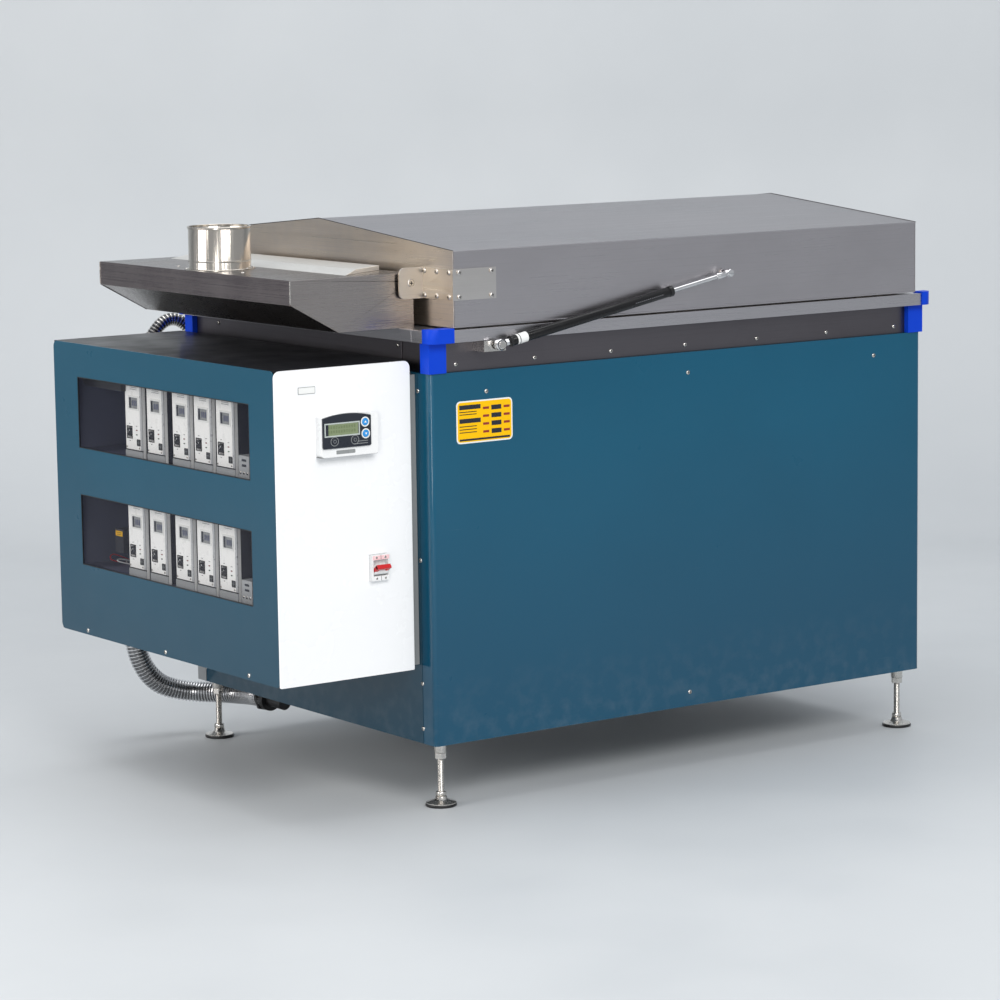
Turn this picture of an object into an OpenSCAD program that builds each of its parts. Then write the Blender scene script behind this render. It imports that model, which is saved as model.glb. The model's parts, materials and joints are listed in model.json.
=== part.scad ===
// Glass kiln: a steel cabinet kiln with a gabled lid on two gas struts, a fume
// hood on its left end, and a control box with ten plug-in power modules.
// Millimetres. The layout is worked out from the middle of the cabinet on the
// floor, with +X to the right, +Z up and the front at -Y. place() then moves it,
// so that the origin is the bottom centre of the whole object.

/* [Cabinet] */
// Cabinet width
body_w = 1130; // [1000:5:1400]
// Cabinet depth
body_d = 810; // [720:5:980]
// Height of the painted panels
panel_h = 650; // [600:5:800]
// Height of the panels above the floor
floor_gap = 113; // [108:1:140]
// Sheet thickness of the panels
panel_t = 1.5; // [1:0.1:3]
// Length of the front panel's return round each corner
panel_return = 36; // [25:1:60]
// Outer radius of the panel corners
corner_r = 8; // [4:1:15]
// Joint between two panels
seam_gap = 1.5; // [0.5:0.1:3]
// Side of the square frame tube
frame_tube = 40; // [30:1:50]
// Leg of the corner angles
post_leg = 40; // [25:1:50]
// Thickness of the corner angles
post_t = 3; // [2:0.5:5]

/* [Rim] */
// Visible height of the recessed band
band_h = 53; // [40:1:70]
// Set-back of the band from the panels
band_inset = 8; // [4:1:14]
// Thickness of the band
band_t = 2; // [1:0.5:3]
// Height of the proud rim strip
flange_h = 22; // [16:1:30]
// Overhang of the rim strip at the ends
flange_over_x = 9; // [4:1:16]
// Overhang of the rim strip at the front and rear
flange_over_y = 19; // [12:1:26]
// Width of the rim's top plate
flange_w = 60; // [50:1:75]
// Thickness of the rim sheet
flange_t = 2; // [1:0.5:3]
// Length of the left corner caps along the front
cap_left = 50; // [40:1:70]
// Length of the right corner caps along the front
cap_right = 26; // [22:1:32]
// Length of the corner caps along the ends
cap_side = 26; // [22:1:40]
// How far the caps stand proud of the rim strip
cap_proud = 3; // [1:0.5:5]
// Outer radius of the corner caps
cap_r = 18; // [8:1:20]

/* [Chamber] */
// Thickness of the wall and floor insulation
ins_t = 80; // [50:1:100]
// Thickness of the hearth slab
hearth_t = 20; // [12:1:40]
// Radius of a heating rod
rod_r = 6; // [4:0.5:8]
// Rows of heating rods on the walls
wall_rows = 5; // [3:1:6]
// Heating rods in the lid
lid_rows = 5; // [3:1:7]
// Height of the thermocouple above the hearth
probe_up = 340; // [100:5:400]

/* [Lid] */
// Height of the lid's walls
lid_wall_h = 132; // [110:1:180]
// Rise from the eaves to the ridge
ridge_rise = 39; // [20:1:80]
// Sheet thickness of the lid
lid_t = 1.5; // [1:0.1:3]
// Gap between the left corner caps and the lid
lid_gap_left = 3; // [2:1:10]
// Gap between the right corner caps and the lid
lid_gap_right = 13; // [4:1:24]
// Set-back of the lid from the rim's front and rear
lid_set_y = 3; // [0:1:8]
// Gap between the lid and the rim
lid_lift = 3; // [2:0.5:6]
// Thickness of the lid's wall insulation
lid_ins_t = 75; // [50:1:90]
// Thickness of the lid's roof insulation
roof_ins_t = 65; // [40:1:66]
// Radius of the five vent holes in the lid's left end
vent_r = 9; // [5:0.5:12]

/* [Lid hinge] */
// Distance from the lid's end wall to the pivot
pivot_out = 28; // [26:1:36]
// Height of the pivot above the rim
pivot_up = 77; // [60:1:90]
// Radius of the pivot bolt
pin_r = 5; // [4:0.5:8]
// Running clearance on a radius
run_fit = 0.05; // [0.02:0.01:0.1]
// Thickness of the hinge bracket
bracket_t = 3; // [2:0.5:4]
// Height of the hinge bracket
bracket_h = 54; // [40:1:60]
// Length of the bracket along the lid's front
bracket_l = 88; // [60:1:120]
// Gap between the ear and the hood
ear_gap = 5; // [3:0.5:8]

/* [Fume hood] */
// Set-back of the hood from the cabinet's front and rear
hood_in = 79; // [60:1:110]
// Height of the hood above the rim
hood_h = 94; // [80:1:110]
// Height of the hood's vertical lip
lip_h = 41; // [30:1:60]
// Length of the hood along X
hood_l = 251; // [220:1:280]
// Length of the slanted underside along X
slant_l = 96; // [60:1:120]
// Sheet thickness of the hood
hood_t = 1.5; // [1:0.1:3]
// Gap between the hood and the lid
hood_gap = 18; // [16:1:24]
// Outer radius of the exhaust collar
collar_r = 55; // [50:1:60]
// Height of the exhaust collar
collar_h = 76; // [50:1:120]
// Distance of the collar's axis from the hood's left face
collar_in = 60; // [58:1:80]

/* [Control box] */
// Depth of the box along X
box_l = 273; // [240:1:320]
// Spacer between the box and the cabinet
spacer_l = 17; // [10:1:30]
// Set-back of the box's front from the cabinet's front
box_front_in = 39; // [30:1:80]
// Set-back of the box's rear from the cabinet's rear
box_rear_in = 5; // [2:1:40]
// Height of the box's top above the panels' upper edge
box_over = 23; // [15:1:35]
// Height of the box's underside above the panels' lower edge
box_up = 134; // [110:1:140]
// Sheet thickness of the box's face
face_t = 2; // [1:0.5:3]
// Thickness of the white side cover
cover_t = 3; // [2:0.5:5]
// Corner radius of the face and of the side cover
face_r = 12; // [4:1:20]
// Distance from the box's front to the windows
window_front = 81; // [70:1:100]
// Height of the windows
window_h = 131; // [110:1:140]
// Distance from the box's top to the upper window
window_down = 61; // [50:1:80]
// Distance between the tops of the two windows
window_pitch = 217; // [200:1:230]
// Distance from the box's rear to the windows
window_rear = 87; // [70:1:100]

/* [Power modules] */
// Width of a module
module_w = 62; // [50:1:66]
// Height of a module
module_h = 154; // [140:1:180]
// Depth of a module
module_l = 150; // [100:1:170]
// Distance of the modules behind the box's face
module_in = 30; // [20:1:50]
// Share of a window's length that is free at its rear end
module_free = 0.204; // [0.17:0.002:0.22]
// Narrowest gap between two modules
module_gap = 13; // [8:1:16]
// Lowest point of a module below its window's edge
module_drop = 9; // [4:1:20]

/* [Controls] */
// Width of the wall controller
control_w = 114; // [100:1:130]
// Height of the wall controller at its sides
control_h = 68; // [60:1:80]
// Depth of the wall controller
control_l = 18; // [12:1:25]
// Rise of the controller's arched top
control_arch = 6; // [2:1:12]
// Distance of the controller from the box's face
control_in = 80; // [60:1:100]
// Distance from the box's top to the controller's centre
control_down = 117; // [90:1:160]
// Radius of a controller key
key_r = 6.2; // [4:0.1:7]
// Travel of a controller key
key_travel = 1; // [0.5:0.1:1.5]
// Width of the breaker
breaker_w = 36; // [34:1:54]
// Height of the breaker
breaker_h = 45; // [44:1:46]

/* [Gas struts] */
// Distance of the lower stud from the cabinet's left end
strut_x = 124; // [100:1:160]
// Distance of the lower stud below the rim's top
strut_down = 29; // [26:1:34]
// Distance between the two studs along X
strut_run = 510; // [480:1:560]
// Rise between the two studs
strut_rise = 95; // [85:1:100]
// Distance of the strut's axis in front of the cabinet
strut_out = 35; // [33:1:45]
// Radius of the cylinder
tube_r = 9; // [8:0.5:11]
// Length of the cylinder
tube_l = 361; // [320:1:370]
// Radius of the piston rod
piston_rod_r = 4; // [3:0.5:5]
// Radius of the ball studs
stud_r = 4; // [3:0.5:5]

/* [Feet] */
// Distance of a foot's axis from the cabinet's sides
foot_in = 30; // [25:1:35]
// Radius of the screw spindle
spindle_r = 6; // [5:1:8]
// Radius of the foot pad
pad_r = 27.5; // [20:0.5:40]

/* [Conduits] */
// Diameter of the lower conduit
low_conduit_d = 40; // [30:1:42]
// Diameter of the upper conduit
up_conduit_d = 25; // [16:1:28]

/* [Hidden] */
$fn = 48;
teal = "#2b6280";
teal_side = "#1f5264";
steel = "#8a8890";
bright = "#c9ccd0";
dark = "#15161a";
white = "#f2f3f3";
grey = "#8f9396";
blue = "#0039be";
board = "#e9e4d8";

fit = 0.5;        // loose clearance between folded sheets
joint = 0.3;      // joint between two boards, and clearance of soft pieces
lap = 15;         // width of folded lips
seam_screw_z = [27, 107, 324, 619]; // seam screws above the panels' lower edge
pan_t = 1.5;      // floor pan
bush_r = 11;      // foot bush
bush_drop = 18;   // foot bush below the panels
nut_r = 11;       // hexagon nuts across corners
nut_h = 10;
head_r = 4;       // panel screw heads
head_h = 2;
plate_t = 0.8;    // rating plates
band_screw_up = 13;
face_screw_down = 37;
face_screw_up = 26;
box_screw_in = 100;
doubler_t = 2;    // sheet on the band under the hood
doubler_in = 14;  // its set-back from the hood's sides

// Heights
z0 = floor_gap;
z_pan = z0 + panel_t;
z_frame = z_pan + pan_t;
z_floor = z_frame + frame_tube;
z_panel = z0 + panel_h;
z_band = z_panel + band_h;
z_rim = z_band + flange_h;
z_hearth = z_floor + ins_t + 2 * joint;
z_chamber = z_hearth + hearth_t;

// Cabinet and rim
bx = body_w / 2;
by = body_d / 2;
band_x = bx - band_inset;
top_lip = band_inset + band_t;
band_y = by - band_inset;
rim_x = bx + flange_over_x;
rim_y = by + flange_over_y;
cap_x = rim_x + cap_proud;
cap_y = rim_y + cap_proud;
ins_x = band_x - band_t - fit;
ins_y = band_y - band_t - fit;
cav_x = ins_x - ins_t;
cav_y = ins_y - ins_t;
ins_top = z_rim - flange_t - joint;
wall_rod_off = rod_r + 12;
wall_rod_pitch = (ins_top - z_chamber - 130) / (wall_rows - 1);
z_probe = z_chamber + probe_up;
probe_r = 4;

// Lid
lx0 = -cap_x + cap_left + lid_gap_left;
lx1 = cap_x - cap_right - lid_gap_right;
ly = rim_y - lid_set_y;
lz0 = z_rim + lid_lift;
lz1 = lz0 + lid_wall_h;
lid_sole = lz0 + lid_t + joint;
lid_roof = lz1 - lid_t - joint - roof_ins_t - 2;
lid_ix0 = lx0 + lid_t + joint;
lid_ix1 = lx1 - lid_t - joint;
lid_iy = ly - lid_t - joint;
lid_rod_z = lid_roof - rod_r - 8;
seal_w = 20;
seal_h = lid_lift + lid_t - joint;
vent_z = lid_sole + 30;
vent_pitch = 100;

// Lid pivot
hood_half = by - hood_in;
px = lx0 - pivot_out;
pz = z_rim + pivot_up;
ear_y = hood_half + ear_gap;
ear_reach = 25;
pin_head = 1.5;   // thickness of the pivot bolt's head
ear_r = 12;

// Fume hood
hx1 = lx0 - hood_gap;
hx0 = hx1 - hood_l;
hz1 = z_rim + hood_h;
collar_x = hx0 + collar_in;
collar_t = 1.5;
slant_a = atan((hood_h - lip_h) / slant_l);
ledge_w = 114;
ledge_h = 8;
ledge_half = hood_half - 30;

// Control box
cx1 = -bx - spacer_l;
cx0 = cx1 - box_l;
cy0 = -by + box_front_in;
cy1 = by - box_rear_in;
cz0 = z0 + box_up;
cz1 = z_panel + box_over;
box_h = cz1 - cz0;
win_y1 = cy1 - window_rear;
win_y0 = cy0 + window_front;
win_z = [cz1 - window_down - window_h, cz1 - window_down - window_h - window_pitch];
pane_lap = 12;
pane_t = 3;
mod_x0 = cx0 + module_in;
mod_extra = [0, 3, 18, 18, 18]; // room added before each module
mod_y = [for (k = [0:4]) win_y1 - module_free * (win_y1 - win_y0) - module_w / 2
    - k * (module_w + module_gap) - mod_extra[k]];
mod_z = [for (z = win_z) z - module_drop];
shelf_t = 3;
shelf_lip = 4;
shelf_in = 20;    // set-back of the shelves from the box's front and rear
rocker = [14, 17];
rocker_dy = 16;
rocker_z = 48;

// Controls, on the outer face of the side cover
cover_y = cy0 - cover_t;
ctl_x0 = cx0 + control_in;
ctl_x1 = ctl_x0 + control_w;
ctl_z0 = cz1 - control_down - control_h / 2;
fascia_w = 97;
fascia_h = 52;
fascia_t = 3;
fascia_z0 = ctl_z0 + 15;
fascia_y = cover_y - control_l;
// places of the keys, from the fascia's lower left corner
key_at = [[86, 41], [87, 21], [24, 12], [65, 12]];
brk_x = cx1 - 72;
brk_z = cz0 + 188;
brk_nose = 9;
tog_y = cover_y - 5;
tog_z = brk_z - 6;
tog_r = 6;

// Gas struts
sx = -bx + strut_x;
sz = z_rim - strut_down;
sy = by + strut_out;
strut_a = atan(strut_rise / strut_run);
strut_l = norm([strut_run, strut_rise]);
eye_r = 9;
eye_w = 14;
rod_eye_r = 6.5;
rod_eye_w = 12;
tube_s0 = 22;
tube_bore = tube_r - 1.5;
piston_s = 90;

// Feet
fx = bx - foot_in;
fy = by - foot_in;
bush_z = z0 - bush_drop;
pad_h = 12;

// Conduit routes along their middle lines, from the cabinet's rear left corner
low_route = [for (p = [[-95, 20, 187], [-95, 30, 187], [-95, 50, 177], [-96, 63, 155],
    [-96, 69, 122], [-95, 69, 82], [-87, 69, 45], [-70, 67, 11], [-43, 65, -15],
    [-10, 57, -29], [22, 40, -35], [50, 8, -35], [65, -30, -33], [69, -70, -29],
    [64, -115, -24], [57, -148, -21], [57, -165, -21]]) [-bx, by, z0] + p];
up_route = [for (p = [[-75, 20, -73], [-75, 29, -73], [-75, 46, -62], [-74, 55, -44],
    [-65, 59, -20], [-46, 62, 5], [-25, 63, 28], [-2, 63, 39], [20, 58, 34],
    [37, 51, 15], [47, 46, -5], [51, 40, -20], [51, 31, -28], [51, 23, -28]])
    [-bx, by, z_panel] + p];
low_start = low_route[0];
low_end = low_route[len(low_route) - 1];
up_start = up_route[0];
up_end = up_route[len(up_route) - 1];

// The whole object's middle, for the origin
x_mid = (cx0 - head_h + cap_x) / 2;
y_mid = (max([for (p = low_route) p.y]) + low_conduit_d / 2 - sy - eye_w / 2 - 3) / 2;

// ---- Helpers -------------------------------------------------------------

module place() translate([-x_mid, -y_mid, 0]) children();

module block(lo, hi) translate(lo) cube(hi - lo);

module both_ends() {
    children();
    mirror([0, 1, 0]) children();
}

module four_corners(x, y) {
    for (i = [-1, 1], j = [-1, 1])
        translate([i * x, j * y, 0]) children();
}

// Cylinders along X, along +Y and along Z from a point
module along_x(p, l, r) translate(p) rotate([0, 90, 0]) cylinder(h = l, r = r);
module along_y(p, l, r) translate(p) rotate([-90, 0, 0]) cylinder(h = l, r = r);
module along_z(p, l, r) translate(p) cylinder(h = l, r = r);

// A rectangle w by h with its lower left corner at the origin and round corners
module round_rect(w, h, r) {
    for (x = [r, w - r], y = [r, h - r]) translate([x, y]) circle(r);
    translate([r, 0]) square([w - 2 * r, h]);
    translate([0, r]) square([w, h - 2 * r]);
}

// A strip w wide and d deep, with the two corners on its -Y side rounded
module corner_strip(w, d, r) intersection() {
    translate([-w / 2, 0]) square([w, d]);
    union() {
        for (i = [-1, 1]) translate([i * (w / 2 - r), r]) circle(r);
        translate([-w / 2 + r, 0]) square([w - 2 * r, d]);
        translate([-w / 2, r]) square([w, d]);
    }
}

// A folded long panel: face, two returns, and lips at the top and bottom
module long_panel() {
    translate([0, -by, z0]) {
        linear_extrude(panel_h) difference() {
            corner_strip(body_w, panel_return, corner_r);
            translate([0, panel_t])
                corner_strip(body_w - 2 * panel_t, panel_return, corner_r - panel_t);
        }
        linear_extrude(panel_t) corner_strip(body_w, lap + band_inset, corner_r);
        translate([0, 0, panel_h - panel_t]) linear_extrude(panel_t)
            corner_strip(body_w, top_lip, corner_r);
    }
}

// A tube of diameter d along a list of points
function unit(v) = v / norm(v);
function heading(p, i) = unit(p[min(i + 1, len(p) - 1)] - p[max(i - 1, 0)]);
function turned(n, t) = unit(n - (n * t) * t);
function normals(p, n, i = 0) = i == len(p) ? [] :
    let (m = turned(n, heading(p, i))) concat([m], normals(p, m, i + 1));
module tube_along(p, d, first) {
    sides = 12;
    n = normals(p, first);
    points = [for (i = [0:len(p) - 1], k = [0:sides - 1])
        p[i] + d / 2 * (cos(k * 360 / sides) * n[i]
            + sin(k * 360 / sides) * cross(heading(p, i), n[i]))];
    skin = [for (i = [0:len(p) - 2], k = [0:sides - 1])
        [i * sides + k, (i + 1) * sides + k,
            (i + 1) * sides + (k + 1) % sides, i * sides + (k + 1) % sides]];
    ends = [[for (k = [0:sides - 1]) k],
        [for (k = [0:sides - 1]) len(p) * sides - 1 - k]];
    polyhedron(points, concat(skin, ends));
}

// A turned square that takes a corner off whatever stands inside the panels
module corner_cut(z, h) translate([0, 0, z]) rotate([0, 0, 45])
    cube([corner_r, corner_r, 2 * h], center = true);

module nut(p, h) translate(p) cylinder(h = h, r = nut_r, $fn = 6);

// Heating rods, each grown by extra for the holes that hold them
module wall_rods(extra) {
    for (i = [0:wall_rows - 1], j = [-1, 1])
        along_x([-cav_x - lap, j * (cav_y - wall_rod_off), z_chamber + 60 + i * wall_rod_pitch],
            2 * (cav_x + lap), rod_r + extra);
}
module lid_rods(extra) {
    pitch = 2 * (lid_iy - lid_ins_t - 120) / (lid_rows - 1);
    for (i = [0:lid_rows - 1])
        along_x([lid_ix0 + lid_ins_t - lap, (i - (lid_rows - 1) / 2) * pitch, lid_rod_z],
            lid_ix1 - lid_ix0 - 2 * lid_ins_t + 2 * lap, rod_r + extra);
}
module vents(x0, l) {
    for (i = [-2:2]) along_x([x0, i * vent_pitch, vent_z], l, vent_r);
}

// ---- Cabinet -------------------------------------------------------------

module base_frame() color("dimgray") place() difference() {
    rail_x = bx - panel_t - fit;
    rail_y = by - panel_t - fit;
    union() {
        for (j = [-1, 1])
            block([-rail_x, j * (rail_y - frame_tube / 2) - frame_tube / 2, z_frame],
                [rail_x, j * (rail_y - frame_tube / 2) + frame_tube / 2, z_floor]);
        for (i = [-1, 0, 1])
            block([i * (rail_x - frame_tube / 2) - frame_tube / 2, -rail_y + frame_tube + joint, z_frame],
                [i * (rail_x - frame_tube / 2) + frame_tube / 2, rail_y - frame_tube - joint, z_floor]);
    }
    four_corners(fx, fy) along_z([0, 0, z_frame - 1], frame_tube + 2, bush_r + run_fit);
    four_corners(rail_x, rail_y) corner_cut(z_frame - 1, frame_tube + 2);
}

module floor_pan() color(grey) place() difference() {
    rail_x = bx - panel_t - fit;
    rail_y = by - panel_t - fit;
    block([-rail_x, -rail_y, z_pan], [rail_x, rail_y, z_frame]);
    four_corners(rail_x, rail_y) corner_cut(z_pan - 1, pan_t + 2);
    four_corners(fx, fy) along_z([0, 0, z_pan - 1], pan_t + 2, bush_r + fit);
}

module foot_sockets() color("silver") place() four_corners(fx, fy) {
    difference() {
        along_z([0, 0, bush_z], z_floor - bush_z, bush_r);
        along_z([0, 0, bush_z - 1], z_floor - bush_z + 2, spindle_r + run_fit);
    }
    difference() {
        nut([0, 0, bush_z - nut_h - joint], nut_h);
        along_z([0, 0, bush_z - nut_h - 2], nut_h + 4, spindle_r + run_fit);
    }
}

module corner_posts() color("dimgray") place() {
    x = bx - panel_t - fit;
    y = by - panel_t - fit;
    for (i = [0, 1], j = [0, 1])
        mirror([i, 0, 0]) mirror([0, j, 0])
            translate([-x, -y, z_floor + joint]) linear_extrude(z_panel - panel_t - z_floor - 2 * joint)
                difference() {
                    translate([corner_r, corner_r]) circle(corner_r);
                    translate([corner_r, corner_r]) circle(corner_r - post_t);
                    translate([corner_r, -1]) square(3 * corner_r);
                    translate([-1, corner_r]) square(3 * corner_r);
                }
    for (i = [0, 1], j = [0, 1])
        mirror([i, 0, 0]) mirror([0, j, 0])
            translate([-x, -y, z_floor + joint]) linear_extrude(z_panel - panel_t - z_floor - 2 * joint) {
                translate([corner_r - 0.01, 0]) square([post_leg - corner_r, post_t]);
                translate([0, corner_r - 0.01]) square([post_t, post_leg - corner_r]);
            }
}

module front_panel() color(teal) place() difference() {
    long_panel();
    four_corners(fx, fy) along_z([0, 0, z0 - 1], panel_t + 2, bush_r + fit);
}

module rear_panel() color(grey) place() difference() {
    rotate([0, 0, 180]) long_panel();
    four_corners(fx, fy) along_z([0, 0, z0 - 1], panel_t + 2, bush_r + fit);
}

module end_panels() color(teal_side) place() {
    y = by - panel_return - seam_gap;
    deep = lap + band_inset;
    for (i = [0, 1]) mirror([i, 0, 0]) difference() {
        block([-bx, -y, z0], [-bx + deep, y, z_panel]);
        block([-bx + panel_t, -y - 1, z0 + panel_t], [-bx + deep + 1, y + 1, z_panel - panel_t]);
        block([-bx + top_lip, -y - 1, z0 + panel_t], [-bx + deep + 1, y + 1, z_panel + 1]);
        if (i == 0)
            along_x([-bx - 1, 0, z_probe], deep, 12);
        four_corners(fx, fy) along_z([0, 0, z0 - 1], panel_t + 2, bush_r + fit);
    }
}

module rim_band() color(steel) place() {
    for (j = [0, 1]) mirror([0, j, 0])
        block([-band_x, -band_y, z_panel], [band_x, -band_y + band_t, z_rim - flange_t]);
    for (i = [0, 1]) mirror([i, 0, 0])
        block([-band_x, -band_y + band_t + joint, z_panel],
            [-band_x + band_t, band_y - band_t - joint, z_rim - flange_t]);
    // doubler under the hood
    half = hood_half - doubler_in;
    block([-band_x - doubler_t, -half, z_panel + joint], [-band_x - joint / 2, half, z_band - joint]);
}

module cap_foot(grow) {
    for (j = [0, 1]) mirror([0, j, 0]) {
        block([-cap_x - grow, -cap_y - grow, z_band - 1],
            [-cap_x + cap_left + grow, -cap_y + cap_side + grow, z_rim + lid_lift + 2]);
        block([cap_x - cap_right - grow, -cap_y - grow, z_band - 1],
            [cap_x + grow, -cap_y + cap_side + grow, z_rim + lid_lift + 2]);
    }
}

module rim_flange() color(steel) place() {
    side_y = rim_y - flange_w - joint;
    for (j = [0, 1]) mirror([0, j, 0]) difference() {
        block([-rim_x, -rim_y, z_band], [rim_x, -rim_y + flange_w, z_rim]);
        block([-rim_x + flange_t, -rim_y + flange_t, z_band - 1],
            [rim_x - flange_t, -rim_y + flange_w + 1, z_rim - flange_t]);
        cap_foot(joint);
    }
    for (i = [0, 1]) mirror([i, 0, 0]) difference() {
        block([-rim_x, -side_y, z_band], [-rim_x + flange_w, side_y, z_rim]);
        block([-rim_x + flange_t, -side_y - 1, z_band - 1],
            [-rim_x + flange_w + 1, side_y + 1, z_rim - flange_t]);
    }
}

// One corner cap: a block over the rim and a leg down the band
module corner_cap(long) {
    leg_x = 36;     // lengths of the leg along the front and along the end
    leg_y = 27;
    leg_out = 3;    // how far the leg stands proud of the panels
    ox = cap_x - bx - leg_out;
    oy = cap_y - by - leg_out;
    wall = leg_out + band_inset - joint;
    translate([0, 0, z_band]) linear_extrude(flange_h + lid_lift) intersection() {
        square([long, cap_side]);
        union() {
            translate([cap_r, cap_r]) circle(cap_r);
            translate([cap_r, 0]) square([long, cap_side]);
            translate([0, cap_r]) square([long, cap_side]);
        }
    }
    translate([ox, oy, z_panel + joint]) linear_extrude(band_h - joint) {
        square([leg_x, wall]);
        square([wall, leg_y]);
    }
}

module rim_corner_caps() color(blue) place() for (j = [0, 1]) mirror([0, j, 0]) {
    translate([-cap_x, -cap_y, 0]) corner_cap(cap_left);
    translate([cap_x, -cap_y, 0]) mirror([1, 0, 0]) corner_cap(cap_right);
}

module chamber_insulation() color(board) place() {
    lo = z_floor + joint;
    for (j = [0, 1]) mirror([0, j, 0])
        block([-ins_x, -ins_y, lo], [ins_x, -cav_y, ins_top]);
    difference() {
        for (i = [0, 1]) mirror([i, 0, 0])
            block([-ins_x, -cav_y + joint, lo], [-cav_x, cav_y - joint, ins_top]);
        wall_rods(joint);
        along_x([-bx, 0, z_probe], ins_t + 2 * lap, probe_r + fit);
    }
    block([-cav_x + joint, -cav_y + joint, lo], [cav_x - joint, cav_y - joint, lo + ins_t]);
}

module hearth_slab() color("#b9a894") place()
    block([-cav_x + 2, -cav_y + 2, z_hearth], [cav_x - 2, cav_y - 2, z_chamber]);

module wall_elements() color("#4b4440") place() wall_rods(0);

module thermocouple() color("#d8cfc0") place() {
    head = 30;
    reach = 45;     // length inside the chamber
    x = cx1 - head;
    along_x([x, 0, z_probe], -cav_x + reach - x, probe_r);
    block([x - head, -head / 2, z_probe - head / 2], [x, head / 2, z_probe + head / 2]);
}

module rating_plates() color("#f2c230") place() {
    plate = [119, 74];
    x = -bx + 54;
    z = z_panel - 125;
    block([x, -by - plate_t, z], [x + plate.x, -by, z + plate.y]);
    badge = [34, 12];
    bx0 = cx0 + 46;
    bz0 = cz1 - 42;
    block([bx0, cover_y - plate_t, bz0], [bx0 + badge.x, cover_y, bz0 + badge.y]);
}

// Domed head on a face, with its axis along X (away from +X) or along Y (away from +Y)
module head_x(p) along_x([p.x - head_h, p.y, p.z], head_h, head_r);
module head_y(p) along_y([p.x, p.y - head_h, p.z], head_h, head_r);

module panel_screws() color(bright) place() {
    band_end = 60;      // from the cabinet's end to the last screw of the band
    face_end = 118;
    for (k = [-3:3]) head_y([k * (bx - band_end) / 3, -band_y, z_panel + band_screw_up]);
    for (k = [-1, 0, 1]) head_y([k * (bx - face_end), -by, z_panel - face_screw_down]);
    head_y([0, -by, z0 + face_screw_up]);
    seam_y = by - panel_return - seam_gap / 2;
    for (z = seam_screw_z) {
        head_x([-bx, -seam_y, z0 + z]);
        if (z < box_up - 2 * head_r)
            head_x([-bx, seam_y, z0 + z]);
        for (j = [-1, 1]) mirror([1, 0, 0]) head_x([-bx, j * seam_y, z0 + z]);
    }
    box_pitch = (cy1 - cy0) / 2 - box_screw_in;
    for (k = [-1, 0, 1]) head_x([cx0, (cy0 + cy1) / 2 + k * box_pitch, cz0 + 2 * head_r]);
    for (j = [-1, 1]) head_x([-band_x - doubler_t, j * (hood_half - 26), z_band - 10]);
}

// ---- Fume hood -------------------------------------------------------------

module hood_outline(t) {
    polygon([[hx0 + t, hz1 - t], [hx0 + t, hz1 - lip_h + t * tan(45 - slant_a / 2)],
        [hx0 + slant_l + t * tan(slant_a / 2), z_rim + t],
        [hx1 + (t > 0 ? 1 : 0), z_rim + t], [hx1 + (t > 0 ? 1 : 0), hz1 - t]]);
}

module fume_hood() color(steel) place() difference() {
    rotate([90, 0, 0]) linear_extrude(2 * hood_half, center = true) hood_outline(0);
    rotate([90, 0, 0]) linear_extrude(2 * (hood_half - hood_t), center = true) hood_outline(hood_t);
    along_z([collar_x, 0, hz1 - 5], 10, collar_r - collar_t);
    both_ends() along_y([px, -hood_half - 1, pz], 4, pin_r + run_fit);
}

module hood_cover() color("#dcdde0") place() difference() {
    rotate([90, 0, 0]) linear_extrude(2 * ledge_half, center = true)
        polygon([[hx1 - 6 - ledge_w, hz1], [hx1 - 6 - ledge_w + 34, hz1 + ledge_h],
            [hx1 - 6, hz1 + ledge_h], [hx1 - 6, hz1]]);
    both_ends() translate([hx1 - 6 - ledge_w, -ledge_half, hz1 - 1]) rotate([0, 0, 30])
        translate([0, -200, 0]) cube([300, 200, ledge_h + 2]);
    along_z([collar_x, 0, hz1 - 1], ledge_h + 2, collar_r + 12);
}

module exhaust_collar() color(bright) place() difference() {
    union() {
        along_z([collar_x, 0, hz1], collar_h, collar_r);
        along_z([collar_x, 0, hz1], 1.2, collar_r + 2);
    }
    along_z([collar_x, 0, hz1 - 1], collar_h + 2, collar_r - collar_t);
}

module hinge_pins() color("silver") place() both_ends() {
    tip = -hood_half + 10;
    head = -ear_y - bracket_t - joint - pin_head;
    along_y([px, head, pz], pin_head, pin_r + 2);
    along_y([px, head + pin_head, pz], tip - head - pin_head, pin_r);
    // spacer between the ear and the hood
    along_y([px, -ear_y + joint, pz], ear_gap - joint, pin_r + 4);
}

// ---- Control box -----------------------------------------------------------

module control_box_chassis() color(dark) place() difference() {
    t = 1.5;
    block([cx0 + face_t, cy0, cz0], [cx1, cy1, cz1]);
    block([cx0 + face_t - 1, cy0 + t, cz0 + t], [cx1 - t, cy1 - t, cz1 - t]);
    // openings behind the face and behind the side cover
    block([cx0 + face_t - 1, cy0 + lap, cz0 + lap], [cx0 + face_t + 5, cy1 - lap, cz1 - lap]);
    block([cx0 + face_t + lap, cy0 - 1, cz0 + lap], [cx1 - lap, cy0 + 5, cz1 - lap]);
    // holes for the thermocouple and the two conduits
    along_x([cx1 - 5, 0, z_probe], 10, 12);
    along_y([low_start.x, cy1 - 5, low_start.z], 10, low_conduit_d / 2 - 4);
    along_y([up_start.x, cy1 - 5, up_start.z], 10, up_conduit_d / 2 - 3);
}

module control_box_face() color(teal_side) place() difference() {
    translate([cx0, cy0, cz0]) rotate([90, 0, 90]) linear_extrude(face_t)
        round_rect(cy1 - cy0, box_h, face_r);
    for (z = win_z)
        block([cx0 - 1, win_y0, z], [cx0 + face_t + 1, win_y1, z + window_h]);
}

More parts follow.
